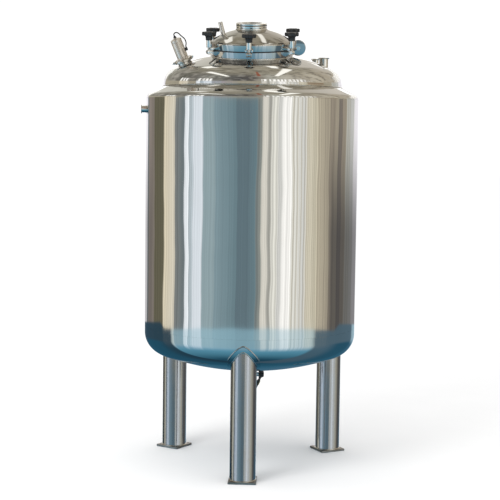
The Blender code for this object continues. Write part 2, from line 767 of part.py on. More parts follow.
def build_ferrule(name, size, foot, matrix, steel):
    """A clamp ferrule: its flange's face at height 0 and its tube down to foot."""
    tube_radius, flange_radius = size
    inner = tube_radius - FERRULE_WALL
    taper = FERRULE_FLANGE_THICKNESS + FERRULE_FLANGE_TAPER
    profile = [
        (flange_radius, 0.0),
        (flange_radius, -FERRULE_FLANGE_THICKNESS),
        (tube_radius, -taper),
        (tube_radius, foot),
        (inner, foot),
        (inner, 0.0),
    ]
    dress(turned(name, profile, FITTING_STEPS, matrix, closed=True), steel)


def build_ferrules(steel):
    """The two ferrules on the top head and the one on the jacket's side."""
    for name, (spot, size) in TOP_FERRULES.items():
        build_ferrule(name, size, -FERRULE_LENGTH, Matrix.Translation(spot), steel)
    foot = JACKET_FERRULE_ROOT - JACKET_FERRULE_FACE
    build_ferrule("jacket_ferrule", SMALL_FERRULE, foot, jacket_ferrule_frame(), steel)


def build_legs(satin, foot_steel):
    """Three tubes with a foot plate below and a doubling pad round the top of each."""
    dish = dish_space()
    for name, angle in LEG_ANGLES.items():
        matrix = radial(angle, LEG_CIRCLE)
        inner, bottom = LEG_RADIUS - LEG_WALL, FOOT_THICKNESS + GAP
        leg = tube(f"leg_{name}", LEG_RADIUS, inner, bottom, JACKET_TANGENT, LEG_STEPS, matrix)
        cut(leg, dish)
        size = (FOOT_SIDE, FOOT_SIDE, FOOT_THICKNESS)
        foot = block(f"foot_plate_{name}", size, radial(angle, LEG_CIRCLE, FOOT_THICKNESS / 2))
        dress(leg, satin)
        dress(foot, foot_steel)
        dress(build_pad(name, angle), satin)


def dish_space():
    """The space that the jacket and its bottom head take, grown by the clearance."""
    top = JACKET_TANGENT + 0.1
    profile = [(0.0, top), (JACKET_RADIUS + GAP, top)] + jacket_head(GAP)[::-1]
    return turned("dish_space", profile, SHELL_STEPS, is_cutter=True)


def build_pad(name, angle):
    """The doubling pad of one leg: a round patch on the dish with a pointed top."""
    first = CROWN_STEPS - 1
    top = JACKET_TANGENT + 0.02
    outer = JACKET_RADIUS + GAP + PAD_THICKNESS
    section = jacket_head(GAP)[first:] + [(JACKET_RADIUS + GAP, top), (outer, top)]
    section += jacket_head(GAP + PAD_THICKNESS)[first:][::-1]
    pad = turned(f"leg_pad_{name}", section, SHELL_STEPS, closed=True)
    matrix = radial(angle, LEG_CIRCLE)
    patch = bar(f"pad_round_{name}", PAD_RADIUS, 0.40, 0.90, LEG_STEPS, matrix, is_cutter=True)
    combine(pad, patch, "INTERSECT")
    face = radial(angle, LEG_CIRCLE) @ FACING_OUT
    arch = plate(f"pad_arch_{name}", arch_outline(), 0.3, face, is_cutter=True)
    combine(pad, arch, "INTERSECT")
    space = LEG_RADIUS + GAP
    cut(pad, bar(f"leg_space_{name}", space, 0.30, 0.90, LEG_STEPS, matrix, is_cutter=True))
    return pad


def arch_outline():
    """Pointed arch that a pad shows from outside, as (sideways, height) points."""
    top = JACKET_TANGENT + PAD_ARCH_TOP
    side = PAD_RADIUS + 0.002
    outline = [(-side, 0.42), (side, 0.42)]
    for i in range(-4, 5):
        share = -i / 4
        outline.append((side * share, top - PAD_ARCH_DEPTH * abs(share) ** 1.2))
    return outline


def build_outlet(steel, plastic, rubber):
    """The outlet tube through both bottoms, and the butterfly valve with its lever."""
    top = VESSEL_BOTTOM_TANGENT - vessel_head()[0][1] + 2 * VESSEL_WALL
    bore = OUTLET_RADIUS - OUTLET_WALL
    profile = [
        (OUTLET_RADIUS, top),
        (OUTLET_RADIUS, OUTLET_FLANGE_TOP),
        (OUTLET_FLANGE_RADIUS, OUTLET_FLANGE_TOP - 0.002),
        (OUTLET_FLANGE_RADIUS, OUTLET_FLANGE_BOTTOM),
        (bore, OUTLET_FLANGE_BOTTOM),
        (bore, top),
    ]
    dress(turned("outlet_ferrule", profile, FITTING_STEPS, closed=True), steel)
    dress(build_valve_body(bore), steel)
    dress(build_vane(), rubber)
    dress(build_lever(), plastic)


def stem_frame():
    """Frame with Z along the valve's stem, which points to +X."""
    return Matrix.Translation((0, 0, STEM_HEIGHT)) @ SIDEWAYS


def build_valve_body(bore):
    """Body of the butterfly valve: a short thick pipe with a boss for the stem."""
    profile = [
        (VALVE_RADIUS - VALVE_CHAMFER, VALVE_TOP),
        (VALVE_RADIUS, VALVE_TOP - VALVE_CHAMFER),
        (VALVE_RADIUS, VALVE_BOTTOM + VALVE_CHAMFER),
        (VALVE_RADIUS - VALVE_CHAMFER, VALVE_BOTTOM),
        (bore, VALVE_BOTTOM),
        (bore, VALVE_TOP),
    ]
    body = turned("valve_body", profile, FITTING_STEPS, closed=True)
    frame = stem_frame()
    join(body, bar("boss", BOSS_RADIUS, VALVE_RADIUS - 0.006, BOSS_END, BOLT_STEPS, frame))
    radius = STEM_RADIUS + RUNNING_CLEARANCE
    cut(body, bar("stem_hole", radius, 0.010, BOSS_END + 0.01, BOLT_STEPS, frame, is_cutter=True))
    return body


def build_vane():
    """The vane that closes the bore, with the stem that turns it. It stands open."""
    matrix = Matrix.Translation((0, 0, STEM_HEIGHT)) @ ACROSS
    half = VANE_THICKNESS / 2
    vane = bar("valve_vane", VANE_RADIUS, -half, half, FITTING_STEPS, matrix)
    end = HANDLE_START + HANDLE_SOCKET - RUNNING_CLEARANCE
    join(vane, bar("stem", STEM_RADIUS, -0.018, end, BOLT_STEPS, stem_frame()))
    return vane


def build_lever():
    """The lever: a hub on the stem and a grip that hangs down beside the valve."""
    frame = stem_frame()
    lever = bar("valve_lever", HANDLE_HUB_RADIUS, HANDLE_START, HANDLE_END, BOLT_STEPS, frame)
    outline = [
        (HANDLE_START, 0.5060),
        (HANDLE_START, 0.4620),
        (0.0440, 0.4500),
        (0.0385, 0.4300),
        (0.0350, 0.4010),
        (0.0420, 0.3990),
        (0.0520, 0.4220),
        (0.0640, 0.4500),
        (0.0700, 0.4680),
        (HANDLE_END, 0.4750),
        (HANDLE_END, 0.5040),
        (0.0700, 0.5060),
    ]
    join(lever, plate("grip", outline, HANDLE_THICKNESS, ACROSS))
    start, end = HANDLE_START - 0.001, HANDLE_START + HANDLE_SOCKET
    radius = STEM_RADIUS + GAP
    cut(lever, bar("lever_socket", radius, start, end, BOLT_STEPS, frame, is_cutter=True))
    return lever


def main():
    """Build the whole tank."""
    clear_scene()
    make_collection(PARTS_NAME)
    make_collection(CUTTERS_NAME)
    steel = make_material("polished_steel", (0.62, 0.61, 0.59), 0.08, 1.0)
    satin = make_material("satin_steel", (0.55, 0.55, 0.56), 0.28, 1.0)
    foot_steel = make_material("foot_steel", (0.28, 0.26, 0.24), 0.55, 0.8)
    rubber = make_material("black_rubber", (0.03, 0.03, 0.035), 0.6, 0.0)
    plastic = make_material("black_plastic", (0.02, 0.02, 0.02), 0.45, 0.0)
    glass = make_material("glass", (0.75, 0.85, 0.85), 0.05, 0.0)
    build_jacket(steel)
    build_vessel(steel)
    build_manhole(steel, rubber, glass)
    build_lid_hinge(steel)
    build_swing_bolts(steel, plastic)
    build_lamp(steel, satin, plastic)
    build_ferrules(steel)
    build_legs(satin, foot_steel)
    build_outlet(steel, plastic, steel)


main()
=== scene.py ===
"""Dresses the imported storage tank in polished, satin and dull steel, black plastic and glass.

Every length is in metres, in the frame's own axes: the tank stands on z = 0 with its axis on Z, and
its front looks towards -Y. Each class holds the sizes of one assembly and builds its pieces.
"""

import logging
from collections.abc import Callable, Sequence
from dataclasses import dataclass
from enum import Enum
from functools import cache, partialmethod
from math import asin, atan2, ceil, copysign, cos, hypot, pi, radians, sin, sqrt, tan
from typing import Any

import bmesh
import bpy
from mathutils import Matrix, Vector


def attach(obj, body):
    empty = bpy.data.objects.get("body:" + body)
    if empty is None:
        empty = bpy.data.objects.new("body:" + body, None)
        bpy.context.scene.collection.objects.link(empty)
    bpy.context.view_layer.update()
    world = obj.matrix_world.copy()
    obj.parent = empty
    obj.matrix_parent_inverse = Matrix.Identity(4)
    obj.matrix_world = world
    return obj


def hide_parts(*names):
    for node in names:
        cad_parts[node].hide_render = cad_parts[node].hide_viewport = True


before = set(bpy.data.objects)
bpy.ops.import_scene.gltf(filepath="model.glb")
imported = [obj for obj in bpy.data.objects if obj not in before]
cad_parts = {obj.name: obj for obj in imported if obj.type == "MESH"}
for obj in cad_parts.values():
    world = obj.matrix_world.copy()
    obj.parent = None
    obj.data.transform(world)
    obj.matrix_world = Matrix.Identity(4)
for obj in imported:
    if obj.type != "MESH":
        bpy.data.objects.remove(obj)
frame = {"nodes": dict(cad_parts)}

log = logging.getLogger("tank")

Point = tuple[float, float]
Corner = tuple[float, float, float]
Colour = tuple[float, float, float]
Ring = list[Vector]
Mesh = bpy.types.Mesh
Sockets = dict[str | int, Any]

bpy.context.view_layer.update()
TANK = "tank"
# Space between neighbours that would share a face
GAP = 0.0003
# Depth of the holes for the ferrules
DRILL = 0.12

# Steps in a full turn
SHELL_STEPS = 192
FITTING_STEPS = 72
SMALL_STEPS = 36
PAD_STEPS = 96
# Largest turn of one step in a rounded corner
CORNER_STEP = radians(12.0)
# Edges sharper than this stay crisp
CRISP = radians(38.0)

# Radius at which the profile of a solid shape starts and ends
AXIS = 0.0005
DEGREE = pi / 180
UP = Vector((0, 0, 1))
# Turns Z to -Y
ACROSS = Matrix.Rotation(radians(90.0), 4, "X")
# Turns Z to +X
SIDEWAYS = Matrix.Rotation(radians(90.0), 4, "Y")


@dataclass(eq=False)
class Val:
    """One output of a shader tree, which takes part in sums as a number would."""

    tree: "Tree"
    socket: bpy.types.NodeSocket | None

    def math(self, operation: str, *others: "Val | float") -> "Val":
        """Return a Math node's result, with this value as its first operand."""
        return self.tree.add("Math", {"operation": operation}, dict(enumerate((self, *others))))

    def after(self, operation: str, first: float) -> "Val":
        """Return a Math node's result, with this value after a number."""
        return self.tree.add("Math", {"operation": operation}, {0: first, 1: self})

    __add__, __radd__ = partialmethod(math, "ADD"), partialmethod(after, "ADD")
    __sub__, __rsub__ = partialmethod(math, "SUBTRACT"), partialmethod(after, "SUBTRACT")
    __mul__, __rmul__ = partialmethod(math, "MULTIPLY"), partialmethod(after, "MULTIPLY")
    __truediv__, __rtruediv__ = partialmethod(math, "DIVIDE"), partialmethod(after, "DIVIDE")

    def output(self, name: str) -> "Val":
        """Return another output of the same node."""
        return Val(self.tree, self.socket.node.outputs[name])

    def between(self, low: float, high: float, blur: float) -> "Val":
        """Return 1 inside a range and 0 outside it, with each end faded over the blur."""
        return self.rise(low - blur / 2, low + blur / 2) * (1 - self.rise(high - blur / 2, high + blur / 2))

    def rise(self, low: float, high: float, bottom: float = 0.0, top: float = 1.0) -> "Val":
        """Map low and below smoothly to bottom, and high and above to top."""
        sockets = {0: self, 1: low, 2: high, 3: bottom, 4: top}
        return self.tree.add("MapRange", {"interpolation_type": "SMOOTHSTEP"}, sockets)


class Tree:
    """A node tree that is being filled."""

    def __init__(self, tree: bpy.types.NodeTree) -> None:
        """Empty the tree and keep it."""
        self.tree = tree
        tree.nodes.clear()

    def add(
        self, kind: str, settings: dict[str, Any] | None = None, sockets: Sockets | None = None, output: str | int = 0
    ) -> Val:
        """Add a node, set it up and connect it.

        Args:
            kind: The node's type, after the ShaderNode that all begin with.
            settings: Its settings, a ramp's stops among them.
            sockets: Values or links of its inputs.
            output: Which output to return.

        Returns:
            The chosen output.
        """
        node = self.tree.nodes.new(f"ShaderNode{kind}")
        for name, value in (settings or {}).items():
            if name == "stops":
                self.fill_ramp(node.color_ramp, value)
            else:
                setattr(node, name, value)
        for name, value in (sockets or {}).items():
            if isinstance(value, Val):
                self.tree.links.new(value.socket, node.inputs[name])
            else:
                node.inputs[name].default_value = value
        return Val(self, node.outputs[output]) if node.outputs else Val(self, None)

    @staticmethod
    def fill_ramp(ramp: bpy.types.ColorRamp, stops: Sequence[tuple[float, Colour]]) -> None:
        """Put stops on a colour ramp.

        Args:
            ramp: The ramp.
            stops: Places from 0 to 1 and their colours.
        """
        while len(ramp.elements) > 1:
            ramp.elements.remove(ramp.elements[-1])
        ramp.elements[0].position = stops[0][0]
        ramp.elements[0].color = (*stops[0][1], 1.0)
        for place, colour in stops[1:]:
            ramp.elements.new(place).color = (*colour, 1.0)

    def blend(self, factor: Val | float, first: Val | Colour, second: Val | Colour, kind: str = "MIX") -> Val:
        """Mix two colours by the share of the second, with one of the Mix node's blend types."""
        pair = [c if isinstance(c, Val) else (*c, 1.0) for c in (first, second)]
        return self.add("Mix", {"data_type": "RGBA", "blend_type": kind}, {0: factor, 6: pair[0], 7: pair[1]}, 2)

    def vector(self, operation: str, *operands: Val | Colour) -> Val:
        """Return a Vector Math node's result."""
        return self.add("VectorMath", {"operation": operation}, dict(enumerate(operands)))

    def noise(self, scale: float, detail: float = 2.0, stretch: Colour = (1.0, 1.0, 1.0)) -> Val:
        """Return noise from 0 to 1: blotches to the metre, finer octaves, and a stretch along each axis."""
        place = self.vector("MULTIPLY", self.add("TexCoord", output="Object"), stretch)
        return self.add("TexNoise", {}, {"Vector": place, "Scale": scale, "Detail": detail})

    def lean(self, slope: float, under: Val | None = None) -> Val:
        """Lean the normal, or one that lies under this one, upwards, as an upward polishing stroke does."""
        start = under or self.add("NewGeometry", output="Normal")
        return self.vector("NORMALIZE", self.vector("ADD", start, (0.0, 0.0, slope)))

    def sway(self, amount: Val) -> Val:
        """Turn the normal sideways, as the long waves of a rolled sheet do.

        Args:
            amount: How far it turns, in radians.

        Returns:
            The normal.
        """
        start = self.add("NewGeometry", output="Normal")
        side = self.vector("CROSS_PRODUCT", (0.0, 0.0, 1.0), start)
        shift = self.add("VectorMath", {"operation": "SCALE"}, {0: side, "Scale": amount})
        return self.vector("NORMALIZE", self.vector("ADD", start, shift))

    def bump(self, height: Val, depth: float, under: Val | None = None) -> Val:
        """Turn a height, as a share of a depth in metres, into a normal over the one under it."""
        normal = {"Normal": under} if under else {}
        return self.add("Bump", {}, {"Height": height, "Distance": depth, **normal})


class Slot(Enum):
    """The record's material slots."""

    POLISHED = "polished_steel"
    SATIN = "satin_steel"
    FOOT = "foot_steel"
    RUBBER = "black_rubber"
    PLASTIC = "black_plastic"
    GLASS = "sight_glass"


class Grain(Enum):
    """Way of the fine polishing lines: the stretch of their noise along X, Y and Z."""

    ROUND = (8.0, 8.0, 420.0)
    LENGTHWISE = (420.0, 420.0, 6.0)
    NONE = (60.0, 60.0, 60.0)


@dataclass(frozen=True)
class Finish:
    """A surface finish. Each kind fills in its own shader."""

    name: str
    slot: Slot

    def build(self) -> bpy.types.Material:
        """Make the material and connect its shader.

        Returns:
            The material.
        """
        material = bpy.data.materials.new(self.name)
        material.use_nodes = True
        tree = Tree(material.node_tree)
        shader = tree.add("BsdfPrincipled", {}, self.sockets(tree))
        tree.add("OutputMaterial", {}, {"Surface": shader})
        return material

    def sockets(self, tree: Tree) -> Sockets:
        """Return the inputs of the Principled shader."""
        raise NotImplementedError


@dataclass(frozen=True)
class Steel(Finish):
    """Stainless steel: its polish, the slow waves of its sheet, its grain and its soil."""

    colour: Colour = (0.70, 0.69, 0.67)
    roughness: float = 0.05
    metal: float = 1.0
    wave_scale: float = 5.0
    wave_depth: float = 0.0
    wave_stretch: Colour = (1.0, 1.0, 1.0)
    grain: Grain = Grain.NONE
    grain_depth: float = 0.0
    soil: float = 0.25
    soil_colour: Colour = (0.42, 0.38, 0.33)
    lean: float = 0.0
    sway: float = 0.0

    def sockets(self, tree: Tree) -> Sockets:
        """Fill in the inputs of the Principled shader.

        Args:
            tree: The material's tree.

        Returns:
            The inputs.
        """
        cloud = tree.noise(7.0, 4.0).rise(0.42, 0.72)
        lines = tree.noise(1.0, 3.0, self.grain.value)
        spots = tree.noise(55.0, 2.0).rise(0.66, 0.74)
        dull = (cloud * 0.6 + spots * 0.5) * self.soil
        base = tree.blend(dull, self.colour, self.soil_colour)
        base = tree.blend((lines - 0.5) * 0.25 * self.soil, base, (0.95, 0.95, 0.95))
        rough = self.roughness + dull * 0.12 + (lines - 0.5) * self.roughness * 0.6
        sockets = {"Base Color": base, "Roughness": rough, "Metallic": self.metal}
        normal = None
        if self.sway:
            normal = tree.sway((tree.noise(self.wave_scale, 2.0, self.wave_stretch) - 0.5) * self.sway)
        if self.wave_depth:
            normal = tree.bump(tree.noise(self.wave_scale, 1.0, self.wave_stretch), self.wave_depth, normal)
        if self.grain_depth:
            normal = tree.bump(lines, self.grain_depth, normal)
        if self.lean:
            normal = tree.lean(self.lean, normal)
        if normal:
            sockets["Normal"] = normal
        return sockets


@dataclass(frozen=True)
class Weld(Finish):
    """A ground weld bead: dull steel with close ripples and a straw-coloured edge."""

    colour: Colour = (0.72, 0.70, 0.67)
    roughness: float = 0.14

    def sockets(self, tree: Tree) -> Sockets:
        """Fill in the inputs of the Principled shader.

        Args:
            tree: The material's tree.

        Returns:
            The inputs.
        """
        ripple = tree.noise(260.0, 2.0)
        base = tree.blend(tree.noise(30.0, 2.0).rise(0.4, 0.7), self.colour, (0.60, 0.54, 0.45))
        rough = self.roughness + ripple * 0.12
        return {"Base Color": base, "Roughness": rough, "Metallic": 1.0, "Normal": tree.bump(ripple, 0.0005)}


@dataclass(frozen=True)
class Moulded(Finish):
    """Black plastic or rubber with a fine moulded grain and pale dust."""

    colour: Colour = (0.012, 0.012, 0.013)
    roughness: float = 0.38
    grain_scale: float = 900.0
    grain_depth: float = 0.00012
    dust: float = 0.3

    def sockets(self, tree: Tree) -> Sockets:
        """Fill in the inputs of the Principled shader.

        Args:
            tree: The material's tree.

        Returns:
            The inputs.
        """
        grain = tree.noise(self.grain_scale, 2.0)
        dusty = tree.noise(40.0, 4.0).rise(0.5, 0.8) * self.dust
        return {
            "Base Color": tree.blend(dusty, self.colour, (0.10, 0.095, 0.09)),
            "Roughness": self.roughness + grain * 0.1 + dusty * 0.25,
            "Metallic": 0.0,
            "Normal": tree.bump(grain, self.grain_depth),
        }


@dataclass(frozen=True)
class Pane(Finish):
    """Thick greenish glass with faint wiping marks."""

    def sockets(self, tree: Tree) -> Sockets:
        """Fill in the inputs of the Principled shader.

        Args:
            tree: The material's tree.

        Returns:
            The inputs.
        """
        smear = tree.noise(25.0, 3.0, (1.0, 4.0, 1.0)).rise(0.45, 0.8)
        return {
            "Base Color": tree.blend(smear, (0.62, 0.74, 0.71), (0.75, 0.79, 0.77)),
            "Roughness": 0.02 + smear * 0.06,
            "Metallic": 0.0,
            "IOR": 1.5,
            "Transmission Weight": 0.75,
        }


MIRROR = Steel(
    "polished_sheet", Slot.POLISHED, roughness=0.028, wave_scale=5.0, wave_depth=0.0003, wave_stretch=(1.0, 1.0, 0.4),
    grain=Grain.LENGTHWISE, soil=0.06, sway=0.07,
)
DISH = Steel("polished_dish", Slot.POLISHED, roughness=0.035, wave_scale=6.0, wave_depth=0.0010, soil=0.08)
LID = Steel(
    "polished_lid", Slot.POLISHED, (0.57, 0.55, 0.52), roughness=0.05, wave_scale=9.0, wave_depth=0.0007, soil=0.15
)
COLLAR = Steel("polished_collar", Slot.POLISHED, (0.50, 0.50, 0.50), roughness=0.05, soil=0.15)
DOME = Steel("polished_dome", Slot.POLISHED, roughness=0.06, wave_scale=9.0, wave_depth=0.0007, soil=0.15)
CHROME = Steel("polished_fitting", Slot.POLISHED, (0.80, 0.79, 0.77), 0.07, soil=0.2)
MACHINED = Steel(
    "turned_fitting", Slot.POLISHED, (0.80, 0.78, 0.75), 0.13, grain=Grain.ROUND, grain_depth=0.00004, soil=0.2
)
# The blue tint of the satin tube's colour is a painted reflection of the blue floor.
SATIN = Steel(
    "satin_tube", Slot.SATIN, (0.41, 0.44, 0.48), 0.12, grain=Grain.LENGTHWISE, grain_depth=0.00003, soil=0.35,
    lean=0.1,
)
PAD = Steel("polished_pad", Slot.SATIN, (0.62, 0.62, 0.61), 0.08, wave_scale=9.0, wave_depth=0.0005, soil=0.2)
BRUSHED = Steel(
    "satin_barrel", Slot.SATIN, (0.72, 0.67, 0.61), 0.26, 0.85, grain=Grain.ROUND, grain_depth=0.00006, soil=0.2,
    lean=0.25,
)
SOCKET = Steel(
    "turned_socket", Slot.POLISHED, (0.72, 0.69, 0.65), 0.13, grain=Grain.ROUND, grain_depth=0.00004, lean=0.25
)
POST = Steel(
    "satin_post", Slot.POLISHED, (0.74, 0.72, 0.69), 0.20, 0.9, grain=Grain.ROUND, grain_depth=0.00004, lean=0.2
)
FOOT = Steel(
    "dull_plate", Slot.FOOT, (0.34, 0.32, 0.30), 0.42, wave_scale=9.0, wave_depth=0.0004, grain_depth=0.0004,
    soil=1.0, soil_colour=(0.16, 0.12, 0.09),
)
INSIDE = Steel("inner_shell", Slot.POLISHED, (0.5, 0.5, 0.49), 0.25, soil=0.4)
BEAD = Weld("ground_weld", Slot.POLISHED)
KNOB = Moulded("knob_plastic", Slot.PLASTIC)
SHEATH = Moulded("lead_sheath", Slot.PLASTIC, roughness=0.5, grain_scale=1500.0)
GASKET = Moulded("gasket_rubber", Slot.RUBBER, (0.02, 0.021, 0.022), 0.6, dust=0.5)
TRIGGER = Moulded("trigger_plastic", Slot.PLASTIC, (0.22, 0.24, 0.03), 0.45, dust=0.4)
GLASS = Pane("sight_glass", Slot.GLASS)


@cache
def material_of(finish: Finish) -> bpy.types.Material:
    """Return the one material of a finish."""
    return finish.build()


def rounded(corners: Sequence[Corner], closed: bool = False) -> list[Point]:
    """Round the corners of a section or an outline.

    Args:
        corners: Two coordinates and the rounding of each corner.
        closed: Whether the last corner joins the first.

    Returns:
        The points, with an arc for each rounded corner.
    """
    points: list[Point] = []
    for i, (x, y, rounding) in enumerate(corners):
        here = Vector((x, y))
        if rounding <= 0 or (not closed and i in (0, len(corners) - 1)):
            points.append((x, y))
            continue
        before = (Vector(corners[i - 1][:2]) - here).normalized()
        after = (Vector(corners[(i + 1) % len(corners)][:2]) - here).normalized()
        half = before.angle(after) / 2
        centre = here + (before + after).normalized() * rounding / sin(half)
        first = here + before * rounding / tan(half) - centre
        last = here + after * rounding / tan(half) - centre
        start = atan2(first.y, first.x)
        sweep = (atan2(last.y, last.x) - start + pi) % (2 * pi) - pi
        steps = max(2, ceil(abs(sweep) / CORNER_STEP))
        for k in range(steps + 1):
            angle = start + sweep * k / steps
            points.append((centre.x + rounding * cos(angle), centre.y + rounding * sin(angle)))
    return points


def circle(radius: float, height: float, steps: int) -> Ring:
    """Return the points of a level circle round Z."""
    turns = (2 * pi * k / steps for k in range(steps))
    return [Vector((radius * cos(a), radius * sin(a), height)) for a in turns]


def turned(profile: Sequence[Point], steps: int) -> list[Ring]:
    """Return the rings of a shape turned round Z from (radius, height) points."""
    return [circle(radius, height, steps) for radius, height in profile]


def spun(corners: Sequence[Corner], steps: int = FITTING_STEPS, ring: bool = False) -> Mesh:
    """Turn rounded (radius, height) corners round Z: from the axis and back to it, or a closed ring."""
    return skin(turned(rounded(corners, ring), steps), wrap=ring)


def bar(radius: float, start: float, end: float, steps: int) -> Mesh:
    """Return a plain round bar along Z."""
    return skin(turned([(radius, start), (radius, end)], steps))


def pin(half: Sequence[Corner]) -> Mesh:
    """Turn a pin that is the same above and below height 0 from the corners of its upper half."""
    above = rounded(half)
    return skin(turned([*above, *((radius, -height) for radius, height in above[::-1])], SMALL_STEPS))


def skin(rings: Sequence[Ring], wrap: bool = False) -> Mesh:
    """Stretch a closed surface over rings of equal counts.

    Args:
        rings: The rings in order.
        wrap: Whether the last ring joins the first. Otherwise a flat face closes each end.

    Returns:
        The mesh, its faces pointing out.
    """
    shape = bmesh.new()
    rows = [[shape.verts.new(point) for point in ring] for ring in rings]
    pairs = list(zip(rows, rows[1:]))
    if wrap:
        pairs.append((rows[-1], rows[0]))
    else:
        shape.faces.new(rows[0])
        shape.faces.new(rows[-1][::-1])
    for upper, lower in pairs:
        for k in range(len(upper)):
            after = (k + 1) % len(upper)
            shape.faces.new((upper[k], lower[k], lower[after], upper[after]))
    return finished(shape)


def finished(shape: bmesh.types.BMesh) -> Mesh:
    """Turn the faces of a closed shape outwards and make it a mesh.

    Args:
        shape: The shape, which is freed.

    Returns:
        The mesh.
    """
    bmesh.ops.recalc_face_normals(shape, faces=shape.faces)
    mesh = bpy.data.meshes.new("shape")
    shape.to_mesh(mesh)
    shape.free()
    return mesh


def prism(outline: Sequence[Point], thickness: float, edge: float) -> Mesh:
    """Return a flat plate with rounded edges.

    Args:
        outline: Its outline in XY.
        thickness: Its thickness, evenly to both sides.
        edge: Rounding of its edges.

    Returns:
        The mesh.
    """
    rings = [[Vector((x, y, side * thickness / 2)) for x, y in outline] for side in (-1, 1)]
    mesh = skin(rings)
    if not edge:
        return mesh
    return modified(mesh, "BEVEL", width=edge, segments=3, angle_limit=CRISP, limit_method="ANGLE")


def plates(outline: Sequence[Point], thickness: float, edge: float, offset: float) -> Mesh:
    """Return two equal upright plates, each at the offset to its side of the XZ plane."""
    return merged(*(moved(prism(outline, thickness, edge), at(y=side * offset) @ ACROSS) for side in (-1, 1)))


def mirrored(corners: Sequence[Corner]) -> list[Corner]:
    """Return corners with their mirror image in the first axis after them."""
    return [*corners, *((x, -y, rounding) for x, y, rounding in corners[::-1])]


def tongue(root: float, end: float, half: float) -> list[Point]:
    """Return the outline of a tongue along X, with a rounded end."""
    return rounded(mirrored([(root, -half, 0.0), (end, -half, 0.003)]), closed=True)


def rectangle(width: float, depth: float, rounding: float) -> list[Point]:
    """Return the outline of a rounded rectangle round the origin."""
    signs = ((-1, -1), (1, -1), (1, 1), (-1, 1))
    return rounded([(x * width / 2, y * depth / 2, rounding) for x, y in signs], closed=True)


def linked(name: str, data: bpy.types.ID) -> bpy.types.Object:
    """Put an object with its data into the scene.

    Args:
        name: The object's name.
        data: Its mesh, lamp or camera.

    Returns:
        The object.
    """
    thing = bpy.data.objects.new(name, data)
    bpy.context.scene.collection.objects.link(thing)
    return thing


def modified(mesh: Mesh, kind: str, **settings: Any) -> Mesh:
    """Put a mesh through one modifier.

    Args:
        mesh: The mesh to change.
        kind: The modifier's type.
        settings: The modifier's settings.

    Returns:
        The changed mesh.
    """
    holder = linked("holder", mesh)
    modifier = holder.modifiers.new(kind, kind)
    for name, value in settings.items():
        setattr(modifier, name, value)
    graph = bpy.context.evaluated_depsgraph_get()
    result = bpy.data.meshes.new_from_object(holder.evaluated_get(graph))
    bpy.data.objects.remove(holder)
    return result


def carved(mesh: Mesh, tool: Mesh, operation: str = "DIFFERENCE") -> Mesh:
    """Cut one mesh with another, or intersect them.

    Args:
        mesh: The mesh to change.
        tool: The other mesh, in the same coordinates.
        operation: The Boolean modifier's operation.

    Returns:
        The changed mesh.
    """
    cutter = linked("cutter", tool)
    result = modified(mesh, "BOOLEAN", object=cutter, operation=operation, solver="EXACT")
    bpy.data.objects.remove(cutter)
    return result


def drilled(mesh: Mesh, tools: Sequence[Mesh], normal: Callable[[Vector], Vector]) -> Mesh:
    """Drill holes in a curved shell and shade it as if it were whole.

    Args:
        mesh: The shell without its holes.
        tools: A plug for each hole.
        normal: Gives the shell's outward normal at a point.

    Returns:
        The drilled shell.
    """
    for tool in tools:
        mesh = carved(mesh, tool)
    mesh.shade_smooth()
    mesh.set_sharp_from_angle(angle=CRISP)
    shading = [Vector((0, 0, 0))] * len(mesh.loops)
    for face in mesh.polygons:
        for index in face.loop_indices:
            true = normal(mesh.vertices[mesh.loops[index].vertex_index].co)
            side = face.normal.dot(true)
            if abs(side) > cos(CRISP):
                shading[index] = true * copysign(1.0, side)
    mesh.normals_split_custom_set(shading)
    mesh["keeps_normals"] = True
    return mesh


def moved(mesh: Mesh, matrix: Matrix) -> Mesh:
    """Move a mesh's points and return it."""
    mesh.transform(matrix)
    return mesh


def merged(*meshes: Mesh) -> Mesh:
    """Put several closed shapes into one mesh.

    Args:
        meshes: The shapes.

    Returns:
        The mesh.
    """
    shape = bmesh.new()
    for mesh in meshes:
        shape.from_mesh(mesh)
    return finished(shape)


def swept(path: Ring, radius: float, up: Vector, closed: bool, ripple: float = 0.0) -> Mesh:
    """Run a round section along a path.

    Args:
        path: Points of the path.
        radius: Radius of the section.
        up: A direction that the path never takes.
        closed: Whether the path is a loop.
        ripple: Depth of the ripples along it, as a share of the radius.

    Returns:
        The mesh.
    """
    rings = []
    count = len(path)
    for i, here in enumerate(path):
        ahead = path[(i + 1) % count] if closed or i < count - 1 else here
        behind = path[i - 1] if closed or i > 0 else here
        side = (ahead - behind).cross(up).normalized()
        top = side.cross(ahead - behind).normalized()
        reach = radius * (1.0 + ripple * (i % 3 - 1))
        rings.append([here + point.x * side + point.y * top for point in circle(reach, 0.0, 12)])
    return skin(rings, wrap=closed)


def bead(name: str, path: Ring, radius: float, ripple: float, base: Matrix | None = None, up: Vector = UP) -> None:
    """Lay a rippled weld bead along a closed path."""
    fit(name, swept(path, radius, up, True, ripple), BEAD, base)


def seam_path(base: Matrix, radius: float, outside: Callable[[Vector], float], reach: float) -> Ring:
    """Follow the line where a round tube meets a surface.

    Args:
        base: The tube's frame, Z along it and out of the surface.
        radius: The tube's radius.
        outside: How far a point is outside the surface.
        reach: How far up and down the tube the line may lie.

    Returns:
        Points of the line.
    """
    path = []
    for point in circle(radius, 0.0, 72):
        high, low = reach, -reach
        for _ in range(24):
            middle = (high + low) / 2
            if outside(base @ Vector((point.x, point.y, middle))) > 0:
                high = middle
            else:
                low = middle
        path.append(base @ Vector((point.x, point.y, high)))
    return path


